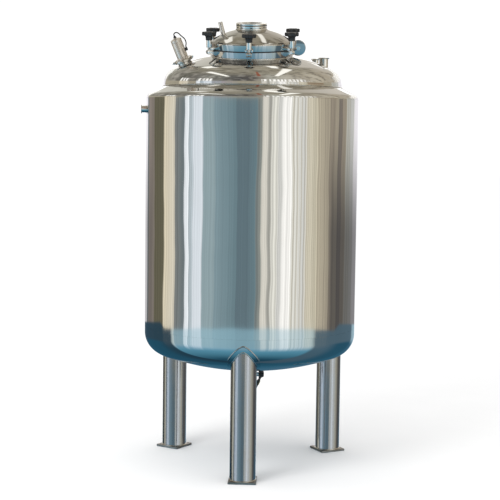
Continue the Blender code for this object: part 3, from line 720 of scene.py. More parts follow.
def fit(
    name: str, mesh: Mesh, finish: Finish, matrix: Matrix | None = None, body: str = TANK, replaces: str | None = None
) -> None:
    """Put a finished piece on the tank.

    Args:
        name: The piece's name.
        mesh: Its mesh.
        finish: Its finish.
        matrix: Where it goes.
        body: The body that it rides on.
        replaces: The plain solid that it stands for.
    """
    mesh.name = name
    if "keeps_normals" not in mesh:
        mesh.shade_smooth()
        mesh.set_sharp_from_angle(angle=CRISP)
    mesh.materials.clear()
    mesh.materials.append(material_of(finish))
    piece = linked(name, mesh)
    piece.matrix_world = matrix or Matrix()
    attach(piece, body)
    if replaces:
        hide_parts(replaces)
    log.info("%s: %d faces in %s on %s", name, len(mesh.polygons), finish.name, body)


def at(x: float = 0.0, y: float = 0.0, z: float = 0.0) -> Matrix:
    """Return a frame moved to a place."""
    return Matrix.Translation((x, y, z))


def radial(angle: float, radius: float = 0.0, height: float = 0.0) -> Matrix:
    """Return a frame turned about Z by an angle in degrees and moved out along its own X."""
    return Matrix.Rotation(radians(angle), 4, "Z") @ at(radius, 0.0, height)


@dataclass(frozen=True)
class Head:
    """A dished head: a spherical crown in a rounded knuckle. Heights are over its tangent line."""

    radius: float
    crown: float
    knuckle: float

    @property
    def edge(self) -> float:
        """Angle from the axis at which the crown meets the knuckle."""
        return asin((self.radius - self.knuckle) / (self.crown - self.knuckle))

    @property
    def centre(self) -> float:
        """Height of the crown's centre."""
        return -sqrt((self.crown - self.knuckle) ** 2 - (self.radius - self.knuckle) ** 2)

    def crown_points(self, grow: float, start: float, steps: int) -> list[Point]:
        """Return points of the crown.

        Args:
            grow: Distance outside the head's own surface.
            start: Radius at which the points begin.
            steps: Number of steps to the crown's edge.

        Returns:
            (radius, height) points going outwards.
        """
        reach = self.crown + grow
        first = asin(start / reach)
        angles = (first + (self.edge - first) * i / steps for i in range(steps + 1))
        return [(reach * sin(a), self.centre + reach * cos(a)) for a in angles]

    def knuckle_points(self, grow: float, steps: int) -> list[Point]:
        """Return points of the knuckle after the crown's edge.

        Args:
            grow: Distance outside the head's own surface.
            steps: Number of steps to the tangent line.

        Returns:
            (radius, height) points going outwards and down.
        """
        reach = self.knuckle + grow
        corner = self.radius - self.knuckle
        angles = (self.edge + (pi / 2 - self.edge) * i / steps for i in range(1, steps + 1))
        return [(corner + reach * sin(a), reach * cos(a)) for a in angles]

    def points(self, grow: float = 0.0, start: float = 0.0, steps: int = 14) -> list[Point]:
        """Return points of the whole head from a starting radius to its tangent line."""
        return self.crown_points(grow, start, steps) + self.knuckle_points(grow, steps)

    def height(self, radius: float, grow: float = 0.0) -> float:
        """Return the head's height at a distance from its axis.

        Args:
            radius: Distance from the axis.
            grow: Distance outside the head's own surface.

        Returns:
            The height, 0 at and past the tangent line.
        """
        if radius >= self.radius + grow:
            return 0.0
        reach = self.crown + grow
        if radius <= reach * sin(self.edge):
            return self.centre + sqrt(reach**2 - radius**2)
        reach = self.knuckle + grow
        return sqrt(max(0.0, reach**2 - (radius - self.radius + self.knuckle) ** 2))


@dataclass
class Jacket:
    """The outer shell with its dished bottom and the sloping closure round the vessel."""

    radius: float = 0.595
    wall: float = 0.003
    top: float = 2.047
    tangent: float = 0.733
    flange: float = 0.040
    rounding: float = 0.030
    slope: float = radians(27.3)
    vessel: float = 0.500
    head: Head = Head(0.595, 1.500, 0.122)
    outlet: float = 0.0255

    def build(self) -> None:
        """Build the shell, the dish, and the closure with the weld where it meets the vessel."""
        self.build_shell()
        self.build_dish()
        self.build_closure()

    def build_shell(self) -> None:
        """Build the upright shell with the hole of the side ferrule."""
        bottom = self.tangent + self.flange + GAP
        top = self.top - GAP
        rows = 26
        outer = [(self.radius, top + (bottom - top) * i / rows) for i in range(rows + 1)]
        inner = [(self.radius - self.wall, height) for _, height in outer[::-1]]
        shell = skin(turned(outer + inner, SHELL_STEPS), wrap=True)
        tool = moved(bar(FerruleSize.SMALL.value[0] + GAP, -DRILL, 0.0, SMALL_STEPS), SIDE_FERRULE)
        shell = drilled(shell, [tool], lambda point: Vector((point.x, point.y, 0)).normalized())
        fit("jacket_wall", shell, MIRROR, replaces="jacket_shell")

    def build_dish(self) -> None:
        """Build the dished bottom with its short upright rim."""
        seam = self.tangent + self.flange
        start = self.outlet + GAP
        inside = self.head.points(-self.wall, start)
        outside = self.head.points(0.0, start)
        section = [(r, self.tangent - h) for r, h in inside]
        section += [(self.radius - self.wall, seam), (self.radius, seam)]
        section += [(r, self.tangent - h) for r, h in outside[::-1]]
        fit("jacket_dish", skin(turned(section, SHELL_STEPS), wrap=True), DISH, replaces="jacket_bottom_head")

    def build_closure(self) -> None:
        """Build the closure, and the ground weld where it meets the vessel."""
        start = self.vessel + GAP
        steps, rows = 12, 6
        sides = []
        for radius, rounding in ((self.radius, self.rounding), (self.radius - self.wall, self.rounding - self.wall)):
            angles = [pi / 2 - self.slope - (pi / 2 - self.slope) * i / steps for i in range(steps + 1)]
            bend = [(radius - rounding + rounding * cos(a), self.top + rounding * sin(a)) for a in angles]
            reach, height = bend[0]
            run = reach - start
            cone = [(start + run * i / rows, height + run * (1 - i / rows) * tan(self.slope)) for i in range(rows)]
            sides.append(cone + bend)
        shoulder = skin(turned(sides[0] + sides[1][::-1], SHELL_STEPS), wrap=True)
        fit("jacket_shoulder", shoulder, DOME, replaces="jacket_closure")
        path = circle(start + 0.001, sides[0][0][1] + 0.0008, SHELL_STEPS * 2)
        bead("closure_weld", path, 0.0028, 0.03)


@dataclass
class TopHead:
    """The vessel's upright wall and its dished top, in one sheet round the manhole."""

    head: Head = Head(0.500, 1.000, 0.100)
    rim: float = 2.125
    wall_bottom: float = 0.8153
    wall: float = 0.004
    tilt: float = radians(9.0)
    manhole: float = 0.2248

    @property
    def centre(self) -> Vector:
        """Centre of the crown's sphere."""
        return Vector((0.0, 0.0, self.rim + self.head.centre))

    def manhole_frame(self) -> Matrix:
        """Return the manhole's frame: on the head, leaning to the front, Z along its axis."""
        lean = Matrix.Rotation(self.tilt, 4, "X")
        return Matrix.Translation(self.centre) @ lean @ at(z=self.head.crown)

    def outside(self, point: Vector) -> float:
        """Return how far a point is outside the crown."""
        return (point - self.centre).length - self.head.crown

    def normal(self, point: Vector) -> Vector:
        """Find the head's outward normal.

        Args:
            point: A point of the head.

        Returns:
            The normal.
        """
        away = point - self.centre
        if away.angle(UP) <= self.head.edge:
            return away.normalized()
        across = Vector((point.x, point.y, 0)).normalized() * (self.head.radius - self.head.knuckle)
        return (point - across - Vector((0, 0, self.rim))).normalized()

    def rings(self, grow: float) -> list[Ring]:
        """Return rings from the manhole's edge to the rim.

        Args:
            grow: Distance outside the head's own surface.

        Returns:
            The rings, all with SHELL_STEPS points.
        """
        reach = self.head.crown + grow
        lean = Matrix.Rotation(self.tilt, 3, "X")
        dip = sqrt(reach**2 - self.manhole**2)
        inner = [lean @ point for point in circle(self.manhole, dip, SHELL_STEPS)]
        edge = self.head.edge
        outer = circle(reach * sin(edge), reach * cos(edge), SHELL_STEPS)
        rows = 22
        rings = []
        for i in range(rows + 1):
            share = i / rows
            rings.append([self.centre + a.slerp(b, share).normalized() * reach for a, b in zip(inner, outer)])
        knuckle = self.head.knuckle_points(grow, 16)
        return rings + turned([(r, self.rim + h) for r, h in knuckle], SHELL_STEPS)

    def build(self) -> None:
        """Build the vessel's wall, and the head with the holes of the lamp and the two ferrules."""
        outer, inner, top = self.head.radius, self.head.radius - self.wall, self.rim - GAP
        rows = [(outer, top), (outer, self.wall_bottom), (inner, self.wall_bottom), (inner, top)]
        fit("vessel_wall", skin(turned(rows, SHELL_STEPS), wrap=True), DOME, replaces="vessel_shell")
        sheet = skin(self.rings(0.0) + self.rings(-self.wall)[::-1], wrap=True)
        tools = [moved(bar(Lamp.tube_radius + GAP, -0.03, 0.03, SMALL_STEPS), LAMP_FRAME)]
        for spot, size in TOP_FERRULES.values():
            tools.append(moved(bar(size.value[0] + GAP, -DRILL, 0.01, SMALL_STEPS), at(*spot)))
        fit("top_dome", drilled(sheet, tools, self.normal), DOME, replaces="top_head")


TOP = TopHead()
MOUTH = TOP.manhole_frame()


class FerruleSize(Enum):
    """Standard clamp ferrules: the radius of the tube and of the flange."""

    SMALL = (0.019, 0.0253)
    LARGE = (0.0255, 0.032)


TOP_FERRULES = {
    "side": ((0.3965, 0.0210, 2.2830), FerruleSize.LARGE),
    "back": ((0.3481, 0.1786, 2.2857), FerruleSize.SMALL),
}


# X and Y of the lamp's direction, of length 1 with its Z
LAMP_WAY = (-0.3605, -0.1893)


def lamp_frame() -> Matrix:
    """Work out the lamp's frame: square to the top head, X to the right as seen from the front.

    Returns:
        The frame.
    """
    x, y = LAMP_WAY
    normal = Vector((x, y, sqrt(1.0 - x * x - y * y)))
    right = (Vector((1, 0, 0)) - normal * normal.x).normalized()
    axes = Matrix((right, normal.cross(right), normal)).transposed().to_4x4()
    return Matrix.Translation(TOP.centre + normal * TOP.head.crown) @ axes


LAMP_FRAME = lamp_frame()
# The ferrule on the jacket's side, Z pointing out of its flange
SIDE_FERRULE = radial(188.0, 0.6233, 1.985) @ SIDEWAYS
# Height of the ferrules' roots, from their faces
TOP_FOOT, SIDE_FOOT = -0.062, -0.0373


@dataclass
class Manhole:
    """The manhole's collar and gasket, and the ears that carry its swing bolts."""

    radius: float = 0.2245
    wall: float = 0.004
    foot: float = -0.035
    flare: float = 0.0028
    top: float = 0.0105
    gasket_top: float = 0.0165
    circle: float = 0.257
    pivot: float = 0.0055
    ear_radius: float = 0.0135
    ear_depth: float = 0.0225
    ear_thickness: float = 0.006
    eye_width: float = 0.014
    angles: tuple[int, ...] = (-90, -30, 30, 90, 150, -150)

    def build(self) -> None:
        """Build the collar, its weld, the gasket and the six clevises."""
        inner = self.radius - self.wall
        corners = [
            (self.radius, self.top, 0.0008), (self.radius - self.flare, self.foot, 0.0),
            (inner - self.flare, self.foot, 0.0), (inner, self.top, 0.0008),
        ]
        fit("manhole_collar", spun(corners, SHELL_STEPS, ring=True), COLLAR, MOUTH, replaces="manhole_neck")
        dip = sqrt(TOP.head.crown**2 - self.radius**2) - TOP.head.crown
        waist = self.radius - self.flare * (self.top - dip) / (self.top - self.foot)
        bead("collar_weld", circle(waist + 0.0012, dip + 0.0012, SHELL_STEPS * 2), 0.0032, 0.03, MOUTH)
        low, high = self.top + GAP, self.gasket_top
        lip = 0.0014
        corners = [
            (self.radius + lip, high, 0.0012), (self.radius + lip, low, 0.0012), (inner + lip, low, 0.0),
            (inner + lip, high, 0.0),
        ]
        fit("lid_gasket", spun(corners, SHELL_STEPS, ring=True), GASKET, MOUTH, replaces="manhole_gasket")
        for number, angle in enumerate(self.angles, 1):
            self.build_clevis(number, MOUTH @ radial(angle, self.circle, self.pivot))

    def build_clevis(self, number: int, base: Matrix) -> None:
        """Build two ears and the headed pin between them.

        Args:
            number: The bolt's number.
            base: The pivot's frame, its pin along Y.
        """
        root = self.radius - self.flare / 2 - self.circle - self.wall / 2
        arc = [radians(a) for a in range(-75, 51, 12)]
        outline = [(root, -self.ear_depth)]
        outline += [(self.ear_radius * cos(a), self.ear_radius * sin(a)) for a in arc]
        outline += [(-self.ear_radius, outline[-1][1]), (root, 0.3 * self.ear_radius)]
        middle = self.eye_width / 2 + 0.0006 + self.ear_thickness / 2
        fit(f"clevis_ears_{number}", plates(outline, self.ear_thickness, 0.0010, middle), CHROME, base)
        face = middle + self.ear_thickness / 2
        corners = [
            (AXIS, face + 0.0026, 0.0), (0.0066, face + 0.0026, 0.0014), (0.0066, face, 0.0), (0.0050, face, 0.0),
        ]
        fit(f"clevis_pin_{number}", pin(corners), MACHINED, base @ ACROSS)


@dataclass
class Lid:
    """The domed lid with its forked lugs, hinge, grip post and sight glass."""

    head: Head = Head(0.227, 0.385, 0.014)
    apex: float = 0.1279
    wall: float = 0.004
    bottom: float = 0.0168
    flare: float = 0.0034
    lug_bottom: float = 0.017
    lug_top: float = 0.030
    lug_end: float = 0.257
    slot_half: float = 0.009
    slot_start: float = 0.233
    lug_half: float = 0.022
    glass_radius: float = 0.0858
    glass_bore: float = 0.055
    glass_recess: float = 0.0788
    glass_lip: float = 0.1481
    # Bottom and top of the sight glass's seat, pane, gasket and ring
    seat: Point = (0.108, 0.1395)
    pane: Point = (0.1398, 0.1478)
    gasket: Point = (0.1397, 0.1428)
    rim: Point = (0.1430, 0.1525)
    hinge_circle: float = 0.2555
    hinge_height: float = 0.020
    cheek_radius: float = 0.041
    cheek_thickness: float = 0.006
    cheek_dome: float = 0.0012
    cheek_offset: float = 0.019
    arm_radius: float = 0.017
    arm_thickness: float = 0.030
    pin_radius: float = 0.009
    grip_place: Point = (-0.150, -0.058)
    grip_radius: float = 0.0125
    grip_length: float = 0.071
    grip_lean: float = radians(14.5)

    @property
    def tangent(self) -> float:
        """Height of the cap's tangent line."""
        return self.apex - self.head.centre - self.head.crown

    def outside(self, point: Vector) -> float:
        """Return how far a point in the manhole's frame is outside the cap."""
        centre = Vector((0.0, 0.0, self.tangent + self.head.centre))
        return (point - centre).length - self.head.crown

    def build(self, manhole: Manhole) -> None:
        """Build the lid and everything on it.

        Args:
            manhole: The manhole under it, for the places of the bolts.
        """
        start = self.glass_radius + GAP
        outside = [(r, self.tangent + h) for r, h in self.head.points(0.0, start)]
        inside = [(r, self.tangent + h) for r, h in self.head.points(-self.wall, start)]
        edge = self.head.radius - self.flare
        foot = [(edge, self.bottom), (edge - self.wall, self.bottom)]
        cap = skin(turned(outside + foot + inside[::-1], SHELL_STEPS), wrap=True)
        fit("lid_cap", cap, LID, MOUTH, replaces="manhole_lid")
        for number, angle in enumerate(manhole.angles, 1):
            self.build_lug(number, MOUTH @ radial(angle))
        self.build_hinge()
        self.build_grip()
        self.build_glass()

    def build_lug(self, number: int, base: Matrix) -> None:
        """Build one forked lug.

        Args:
            number: The bolt's number.
            base: A frame on the manhole's axis whose X points at the bolt.
        """
        root = self.head.radius - self.flare - self.wall / 2
        side = [
            (root, -self.lug_half, 0.0), (self.lug_end, -self.lug_half, 0.005),
            (self.lug_end, -self.slot_half, 0.0015), (self.slot_start, -self.slot_half, 0.006),
        ]
        lug = prism(rounded(mirrored(side), closed=True), self.lug_top - self.lug_bottom, 0.0012)
        middle = (self.lug_top + self.lug_bottom) / 2
        fit(f"lid_lug_{number}", lug, CHROME, base @ at(z=middle))

    def build_hinge(self) -> None:
        """Build the lid's hinge arm, the two cheeks beside it and the pin."""
        hinge = at(self.hinge_circle, 0, self.hinge_height)
        root = self.head.radius - self.flare - self.wall / 2 - self.hinge_circle
        arc = [radians(a) for a in range(-120, 91, 10)]
        outline = [(root, 0.026), (root, 0.002)]
        outline += [(self.arm_radius * cos(a), self.arm_radius * sin(a)) for a in arc]
        fit("lid_hinge_arm", prism(outline, self.arm_thickness, 0.0015), CHROME, MOUTH @ hinge @ ACROSS)
        half = self.cheek_thickness / 2
        space = bar(self.head.radius + GAP, 0.15, -0.1, SHELL_STEPS)
        for side, name in ((-1, "front"), (1, "back")):
            upper = [
                (0.0095, half, 0.0), (self.cheek_radius / 2, half - self.cheek_dome / 3, 0.03),
                (self.cheek_radius, half - self.cheek_dome, 0.0014),
            ]
            cheek = spun(mirrored(upper))
            moved(cheek, hinge @ at(y=side * self.cheek_offset) @ ACROSS)
            fit(f"hinge_disc_{name}", carved(cheek, space), COLLAR, MOUTH, replaces=f"hinge_cheek_{name}")
        face = self.cheek_offset + half
        corners = [
            (AXIS, face + 0.0045, 0.0), (0.0125, face + 0.0045, 0.0016), (0.0125, face + 0.0003, 0.0),
            (self.pin_radius, face + 0.0003, 0.0),
        ]
        fit("hinge_bolt", pin(corners), MACHINED, MOUTH @ hinge @ ACROSS, replaces="hinge_pin")

    def build_grip(self) -> None:
        """Build the grip post and its weld."""
        x, y = self.grip_place
        height = self.apex - self.head.crown + sqrt(self.head.crown**2 - x * x - y * y)
        lean = Matrix.Rotation(-self.grip_lean, 4, "Y")
        post = at(x, y, height) @ lean
        corners = [
            (AXIS, self.grip_length, 0.0), (self.grip_radius, self.grip_length, 0.0022),
            (self.grip_radius, -0.005, 0.0),
        ]
        fit("grip_post", spun(corners), POST, MOUTH @ post, replaces="lid_grip")
        path = seam_path(post, self.grip_radius + 0.0006, self.outside, 0.03)
        bead("grip_weld", path, 0.0022, 0.05, MOUTH)

    def build_glass(self) -> None:
        """Build the sight glass: its seat, pane, gasket and clamping ring."""
        radius, bore, recess = self.glass_radius, self.glass_bore, self.glass_recess
        low, high = self.seat
        corners = [
            (radius, high, 0.0016), (radius, 0.1290, 0.0008), (radius - 0.0022, 0.1268, 0.0008),
            (radius, 0.1246, 0.0008), (radius, low, 0.0), (bore, low, 0.0), (bore, high, 0.0012),
        ]
        fit("glass_seat", spun(corners, SHELL_STEPS, ring=True), MACHINED, MOUTH, replaces="sight_glass_base")
        low, high = self.pane
        corners = [(AXIS, high, 0.0), (0.0785, high, 0.0010), (0.0785, low, 0.0010), (AXIS, low, 0.0)]
        fit("glass_disc", spun(corners), GLASS, MOUTH, replaces="sight_glass_pane")
        low, high = self.gasket
        corners = [
            (radius - 0.0012, high, 0.001), (radius - 0.0012, low, 0.001), (recess, low, 0.0), (recess, high, 0.0),
        ]
        fit("glass_gasket", spun(corners, SHELL_STEPS, ring=True), GASKET, MOUTH)
        low, high = self.rim
        corners = [
            (radius, high, 0.0020), (radius, low, 0.0012), (recess, low, 0.0), (recess, self.glass_lip, 0.0),
            (bore, self.glass_lip, 0.0), (bore + 0.0015, high, 0.0015),
        ]
        fit("glass_ring", spun(corners, SHELL_STEPS, ring=True), MACHINED, MOUTH, replaces="sight_glass_rim")
        dip = self.tangent + self.head.height(radius)
        bead("glass_weld", circle(radius + 0.0008, dip + 0.0008, SHELL_STEPS), 0.0022, 0.04, MOUTH)


@dataclass
class SwingBolt:
    """One swing bolt with its sleeve and its star knob. Heights are from the pivot's axis."""

    number: int
    angle: float
    eye_radius: float = 0.014
    pin_hole: float = 0.0056
    rod_radius: float = 0.0074
    thread: float = 0.00175
    sleeve_radius: float = 0.016
    sleeve_bottom: float = 0.0248
    sleeve_top: float = 0.0635
    rod_tip: float = 0.0825
    hub_radius: float = 0.020
    star_bottom: float = 0.0247
    star_top: float = 0.0445
    star_radius: float = 0.038
    wave: float = 0.12
    lobes: int = 6

    def build(self, manhole: Manhole) -> None:
        """Build the bolt's parts on its own bodies.

        Args:
            manhole: The manhole that carries it.
        """
        base = MOUTH @ radial(self.angle, manhole.circle, manhole.pivot)
        bolt = f"bolt_{self.number}"
        node = f"swing_bolt_{self.number}"
        half = manhole.eye_width / 2
        corners = [
            (self.eye_radius, half, 0.0022), (self.eye_radius, -half, 0.0022), (self.pin_hole, -half, 0.0006),
            (self.pin_hole, half, 0.0006),
        ]
        fit(f"bolt_eye_{self.number}", spun(corners, SMALL_STEPS, ring=True), CHROME, base @ ACROSS, bolt, node)
        fit(f"bolt_rod_{self.number}", self.rod(), MACHINED, base, bolt)
        fit(f"bolt_sleeve_{self.number}", self.sleeve(), CHROME, base, bolt)
        seat = base @ at(z=self.sleeve_top)
        knob = f"knob_{self.number}"
        fit(f"knob_star_{self.number}", self.knob(), KNOB, seat, knob, f"star_knob_{self.number}")
        fit(f"knob_cap_{self.number}", self.cap(), KNOB, seat, knob)

    def rod(self) -> Mesh:
        """Make the threaded rod.

        Returns:
            Its mesh.
        """
        root, bottom = self.rod_radius - 0.0009, 0.0075
        profile = [(AXIS, self.rod_tip), (root, self.rod_tip)]
        turns = int((self.rod_tip - bottom) / self.thread)
        for i in range(turns):
            height = self.rod_tip - self.thread * (i + 0.5)
            profile += [(self.rod_radius, height), (root, height - self.thread / 2)]
        profile += [(root, bottom), (AXIS, bottom)]
        return skin(turned(profile, 24))

    def sleeve(self) -> Mesh:
        """Make the bearing sleeve with its washer and its top collar.

        Returns:
            Its mesh.
        """
        low, high, outer = self.sleeve_bottom, self.sleeve_top, self.sleeve_radius
        corners = [
            (self.rod_radius, high, 0.0), (outer - 0.0010, high, 0.0010), (outer - 0.0010, low + 0.0042, 0.0),
            (outer - 0.0018, low + 0.0036, 0.0), (outer - 0.0018, low + 0.0030, 0.0), (outer, low + 0.0028, 0.0006),
            (outer, low, 0.0006), (self.rod_radius, low, 0.0),
        ]
        return spun(corners, SMALL_STEPS, ring=True)

    def lobed(self, reach: float, wave: float, height: float) -> Ring:
        """Return one ring of the star.

        Args:
            reach: Its largest radius.
            wave: Depth of its waves, as a share of the radius.
            height: Its height.

        Returns:
            Its points.
        """
        ring = []
        for point in circle(1.0, 0.0, 96):
            radius = reach * (1 - wave - wave * cos(self.lobes * atan2(point.y, point.x)))
            ring.append(Vector((radius * point.x, radius * point.y, height)))
        return ring

    def knob(self) -> Mesh:
        """Make the star knob: a hub with a blind bore under a lobed plate with rounded edges.

        Returns:
            Its mesh.
        """
        bore = self.rod_radius + 0.0006
        depth = self.rod_tip - self.sleeve_top + 0.0006
        low, high, edge = self.star_bottom, self.star_top, 0.0045
        hub, star = self.hub_radius, self.star_radius
        rows = [
            (bore, 0.0, depth), (bore, 0.0, GAP), (hub - 0.003, 0.0, GAP), (hub - 0.0018, 0.0, GAP + 0.0012),
            (hub - 0.0018, 0.0, 0.010), (hub - 0.0005, 0.0, low - 0.006), (hub + 0.0016, 0.01, low - 0.002),
            (hub + 0.005, 0.03, low),
        ]
        turns = [pi / 2 * i / 6 for i in range(7)]
        rows += [(star - edge * (1 - sin(a)), self.wave, low + edge * (1 - cos(a))) for a in turns]
        rows += [(star - edge * (1 - cos(a)), self.wave, high - edge * (1 - sin(a))) for a in turns]
        rows += [
            (star - 0.011, self.wave * 0.6, high - 0.0004), (star - 0.017, 0.02, high - 0.0016),
            (0.0145, 0.0, high - 0.0018),
        ]
        return skin([self.lobed(*row) for row in rows])

    def cap(self) -> Mesh:
        """Make the round cap in the middle of the star.

        Returns:
            Its mesh.
        """
        high = self.star_top
        corners = [(AXIS, high + 0.0002, 0.0), (0.0135, high - 0.0006, 0.0014), (0.0135, high - 0.0025, 0.0)]
        return spun(corners, SMALL_STEPS)


@dataclass
class Lamp:
    """The tank lamp in its clamped socket. Heights are from the head along its own axis."""

    tube_radius: float = 0.038
    tube_wall: float = 0.002
    root: float = 0.012
    flange_radius: float = 0.0455
    flange: float = 0.005
    seam: float = 0.023
    body_radius: float = 0.031
    body_top: float = 0.142
    cone_top: float = 0.151
    neck_radius: float = 0.010
    gland_radius: float = 0.0085
    gland_top: float = 0.164
    lead_radius: float = 0.0032
    connector: tuple[float, float, float] = (0.011, 0.016, 0.018)
    connector_place: Point = (0.0372, 0.0745)
    clamp_outer: float = 0.0525
    clamp_inner: float = 0.0458
    clamp_half: float = 0.0085
    # Points of the lead, to the right of the axis and up it
    route: tuple[Point, ...] = (
        (0.0000, 0.1643), (0.0000, 0.1690), (0.0040, 0.1745), (0.0120, 0.1770), (0.0210, 0.1740), (0.0280, 0.1660),
        (0.0330, 0.1550), (0.0385, 0.1450), (0.0440, 0.1350), (0.0475, 0.1240), (0.0480, 0.1120), (0.0450, 0.1010),
        (0.0405, 0.0930), (0.0382, 0.0866), (0.0382, 0.0838),
    )

    def build(self) -> None:
        """Build every part of the lamp on its own axis."""
        self.build_socket()
        self.build_clamp()
        self.build_housing()
        self.build_lead()

    def build_socket(self) -> None:
        """Build the socket tube, its flange and its weld."""
        low = self.seam - self.flange
        inner = self.tube_radius - self.tube_wall
        corners = [
            (self.flange_radius, self.seam - GAP, 0.0008), (self.flange_radius, low, 0.0010),
            (self.tube_radius, low - 0.0022, 0.0015), (self.tube_radius, -self.root, 0.0), (inner, -self.root, 0.0),
            (inner, self.seam - GAP, 0.0),
        ]
        fit("lamp_seat", spun(corners, ring=True), SOCKET, LAMP_FRAME, replaces="lamp_socket")
        bead("lamp_weld", circle(self.tube_radius + 0.0008, 0.0002, FITTING_STEPS * 2), 0.0024, 0.05, LAMP_FRAME)

    def build_clamp(self) -> None:
        """Build the clamp ring with its hinge block, its bolt and its wing nut."""
        half, outer, inner = self.clamp_half, self.clamp_outer, self.clamp_inner
        corners = [
            (outer - 0.0016, half, 0.0012), (outer, half - 0.0030, 0.0016), (outer, -half + 0.0030, 0.0016),
            (outer - 0.0016, -half, 0.0012), (inner, -half, 0.0008), (inner, half, 0.0008),
        ]
        ring = spun(corners, ring=True)
        seat = LAMP_FRAME @ at(z=self.seam)
        fit("clamp_ring", ring, SOCKET, seat, replaces="lamp_clamp")
        fit("clamp_tabs", plates(tongue(-0.0495, -0.0615, 0.0062), 0.0042, 0.0008, 0.0046), SOCKET, seat)
        corners = [(AXIS, 0.0105, 0.0), (0.0028, 0.0105, 0.0008), (0.0028, -0.0105, 0.0), (AXIS, -0.0105, 0.0)]
        bolt = spun(corners, 24)
        across = seat @ at(-0.0575) @ ACROSS
        fit("clamp_bolt", bolt, MACHINED, across)
        wing = [
            (-0.0045, -0.0040, 0.001), (0.0045, -0.0040, 0.001), (0.0085, 0.0060, 0.0025), (0.0030, 0.0060, 0.0015),
            (0.0000, 0.0015, 0.001), (-0.0030, 0.0060, 0.0015), (-0.0085, 0.0060, 0.0025),
        ]
        nut = prism(rounded(wing, closed=True), 0.0045, 0.0010)
        fit("clamp_wing_nut", moved(nut, at(z=0.0108) @ ACROSS), MACHINED, across)
        fit("clamp_hinge", moved(prism(tongue(0.0500, 0.0570, 0.0050), 0.0130, 0.0008), ACROSS), MACHINED, seat)

    def build_housing(self) -> None:
        """Build the brushed housing with its collars and its gland."""
        top, body = self.seam + self.flange, self.body_radius
        corners = [
            (AXIS, self.cone_top, 0.0), (self.neck_radius, self.cone_top, 0.0008),
            (self.neck_radius + 0.0015, self.cone_top - 0.0020, 0.0010),
            (body - 0.0010, self.body_top + 0.0008, 0.0020), (body, self.body_top - 0.0020, 0.0010),
            (body, self.body_top - 0.0125, 0.0004), (body - 0.0009, self.body_top - 0.0130, 0.0002),
            (body - 0.0009, self.body_top - 0.0142, 0.0002), (body, self.body_top - 0.0147, 0.0004),
            (body, top + 0.0150, 0.0004), (body - 0.0009, top + 0.0145, 0.0002),
            (body - 0.0009, top + 0.0133, 0.0002), (body, top + 0.0128, 0.0004), (body, top + 0.0035, 0.0025),
            (self.flange_radius, top, 0.0008), (self.flange_radius, self.seam, 0.0006), (AXIS, self.seam, 0.0),
        ]
        fit("lamp_barrel", spun(corners), BRUSHED, LAMP_FRAME, replaces="lamp_housing")
        screws = []
        for angle in (0, 120, 240):
            corners = [(0.0004, 0.0012, 0.0), (0.0022, 0.0012, 0.0006), (0.0022, -0.001, 0.0)]
            screw = spun(corners, 16)
            spot = radial(angle + 40, body, self.body_top - 0.0070) @ SIDEWAYS
            screws.append(moved(screw, spot))
        fit("lamp_screws", merged(*screws), CHROME, LAMP_FRAME)
        base, high, reach = self.cone_top + GAP, self.gland_top, self.gland_radius
        rows = [(reach - 0.0008, base), (reach, base + 0.0006), (reach, base + 0.0044), (reach - 0.001, base + 0.005)]
        fit("gland_hex", skin(turned(rows, 6)), KNOB, LAMP_FRAME)
        profile = [(reach - 0.0018, base + 0.005)]
        ribs = 4
        for i in range(ribs):
            low = base + 0.0052 + (high - base - 0.0052) * i / ribs
            rise = (high - base - 0.0052) / ribs
            outer = reach - 0.0012 - 0.0010 * i
            profile += [(outer, low + 0.1 * rise), (outer, low + 0.55 * rise), (outer - 0.0011, low + 0.65 * rise)]
            profile.append((outer - 0.0012, low + 0.95 * rise))
        fit("lamp_gland_nut", skin(turned(profile[::-1], SMALL_STEPS)), KNOB, LAMP_FRAME, replaces="lamp_gland")

    def build_lead(self) -> None:
        """Build the short lead and the connector on the housing's side."""
        curve = smooth_path([Vector((x, 0.0, z)) for x, z in self.route], 6)
        lead = swept(curve, self.lead_radius, Vector((0, 1, 0)), False)
        fit("lamp_cable", lead, SHEATH, LAMP_FRAME, replaces="lamp_lead")
        x, z = self.connector_place
        width, depth, height = self.connector
        outline = rectangle(width, depth, 0.0025)
        rows = [
            (-0.5, 0.80), (-0.44, 0.97), (-0.40, 1.0), (0.10, 1.0), (0.14, 0.93), (0.18, 0.93), (0.22, 1.0),
            (0.40, 1.0), (0.46, 0.95), (0.5, 0.70),
        ]
        rings = [[Vector((px * shrink, py * shrink, share * height)) for px, py in outline] for share, shrink in rows]
        fit("lamp_plug", skin(rings), KNOB, LAMP_FRAME @ at(x, 0, z), replaces="lamp_connector")


def smooth_path(points: Ring, steps: int) -> Ring:
    """Run a smooth curve through points.

    Args:
        points: The points that it passes.
        steps: Steps between two of them.

    Returns:
        The points of the curve.
    """
    ends = [2 * points[0] - points[1], *points, 2 * points[-1] - points[-2]]
    path = []
    for before, a, b, after in zip(ends, ends[1:], ends[2:], ends[3:]):
        for i in range(steps):
            t = i / steps
            bend = 2 * before - 5 * a + 4 * b - after
            twist = 3 * a - before - 3 * b + after
            path.append((2 * a + (b - before) * t + bend * t**2 + twist * t**3) / 2)
    return [*path, points[-1]]


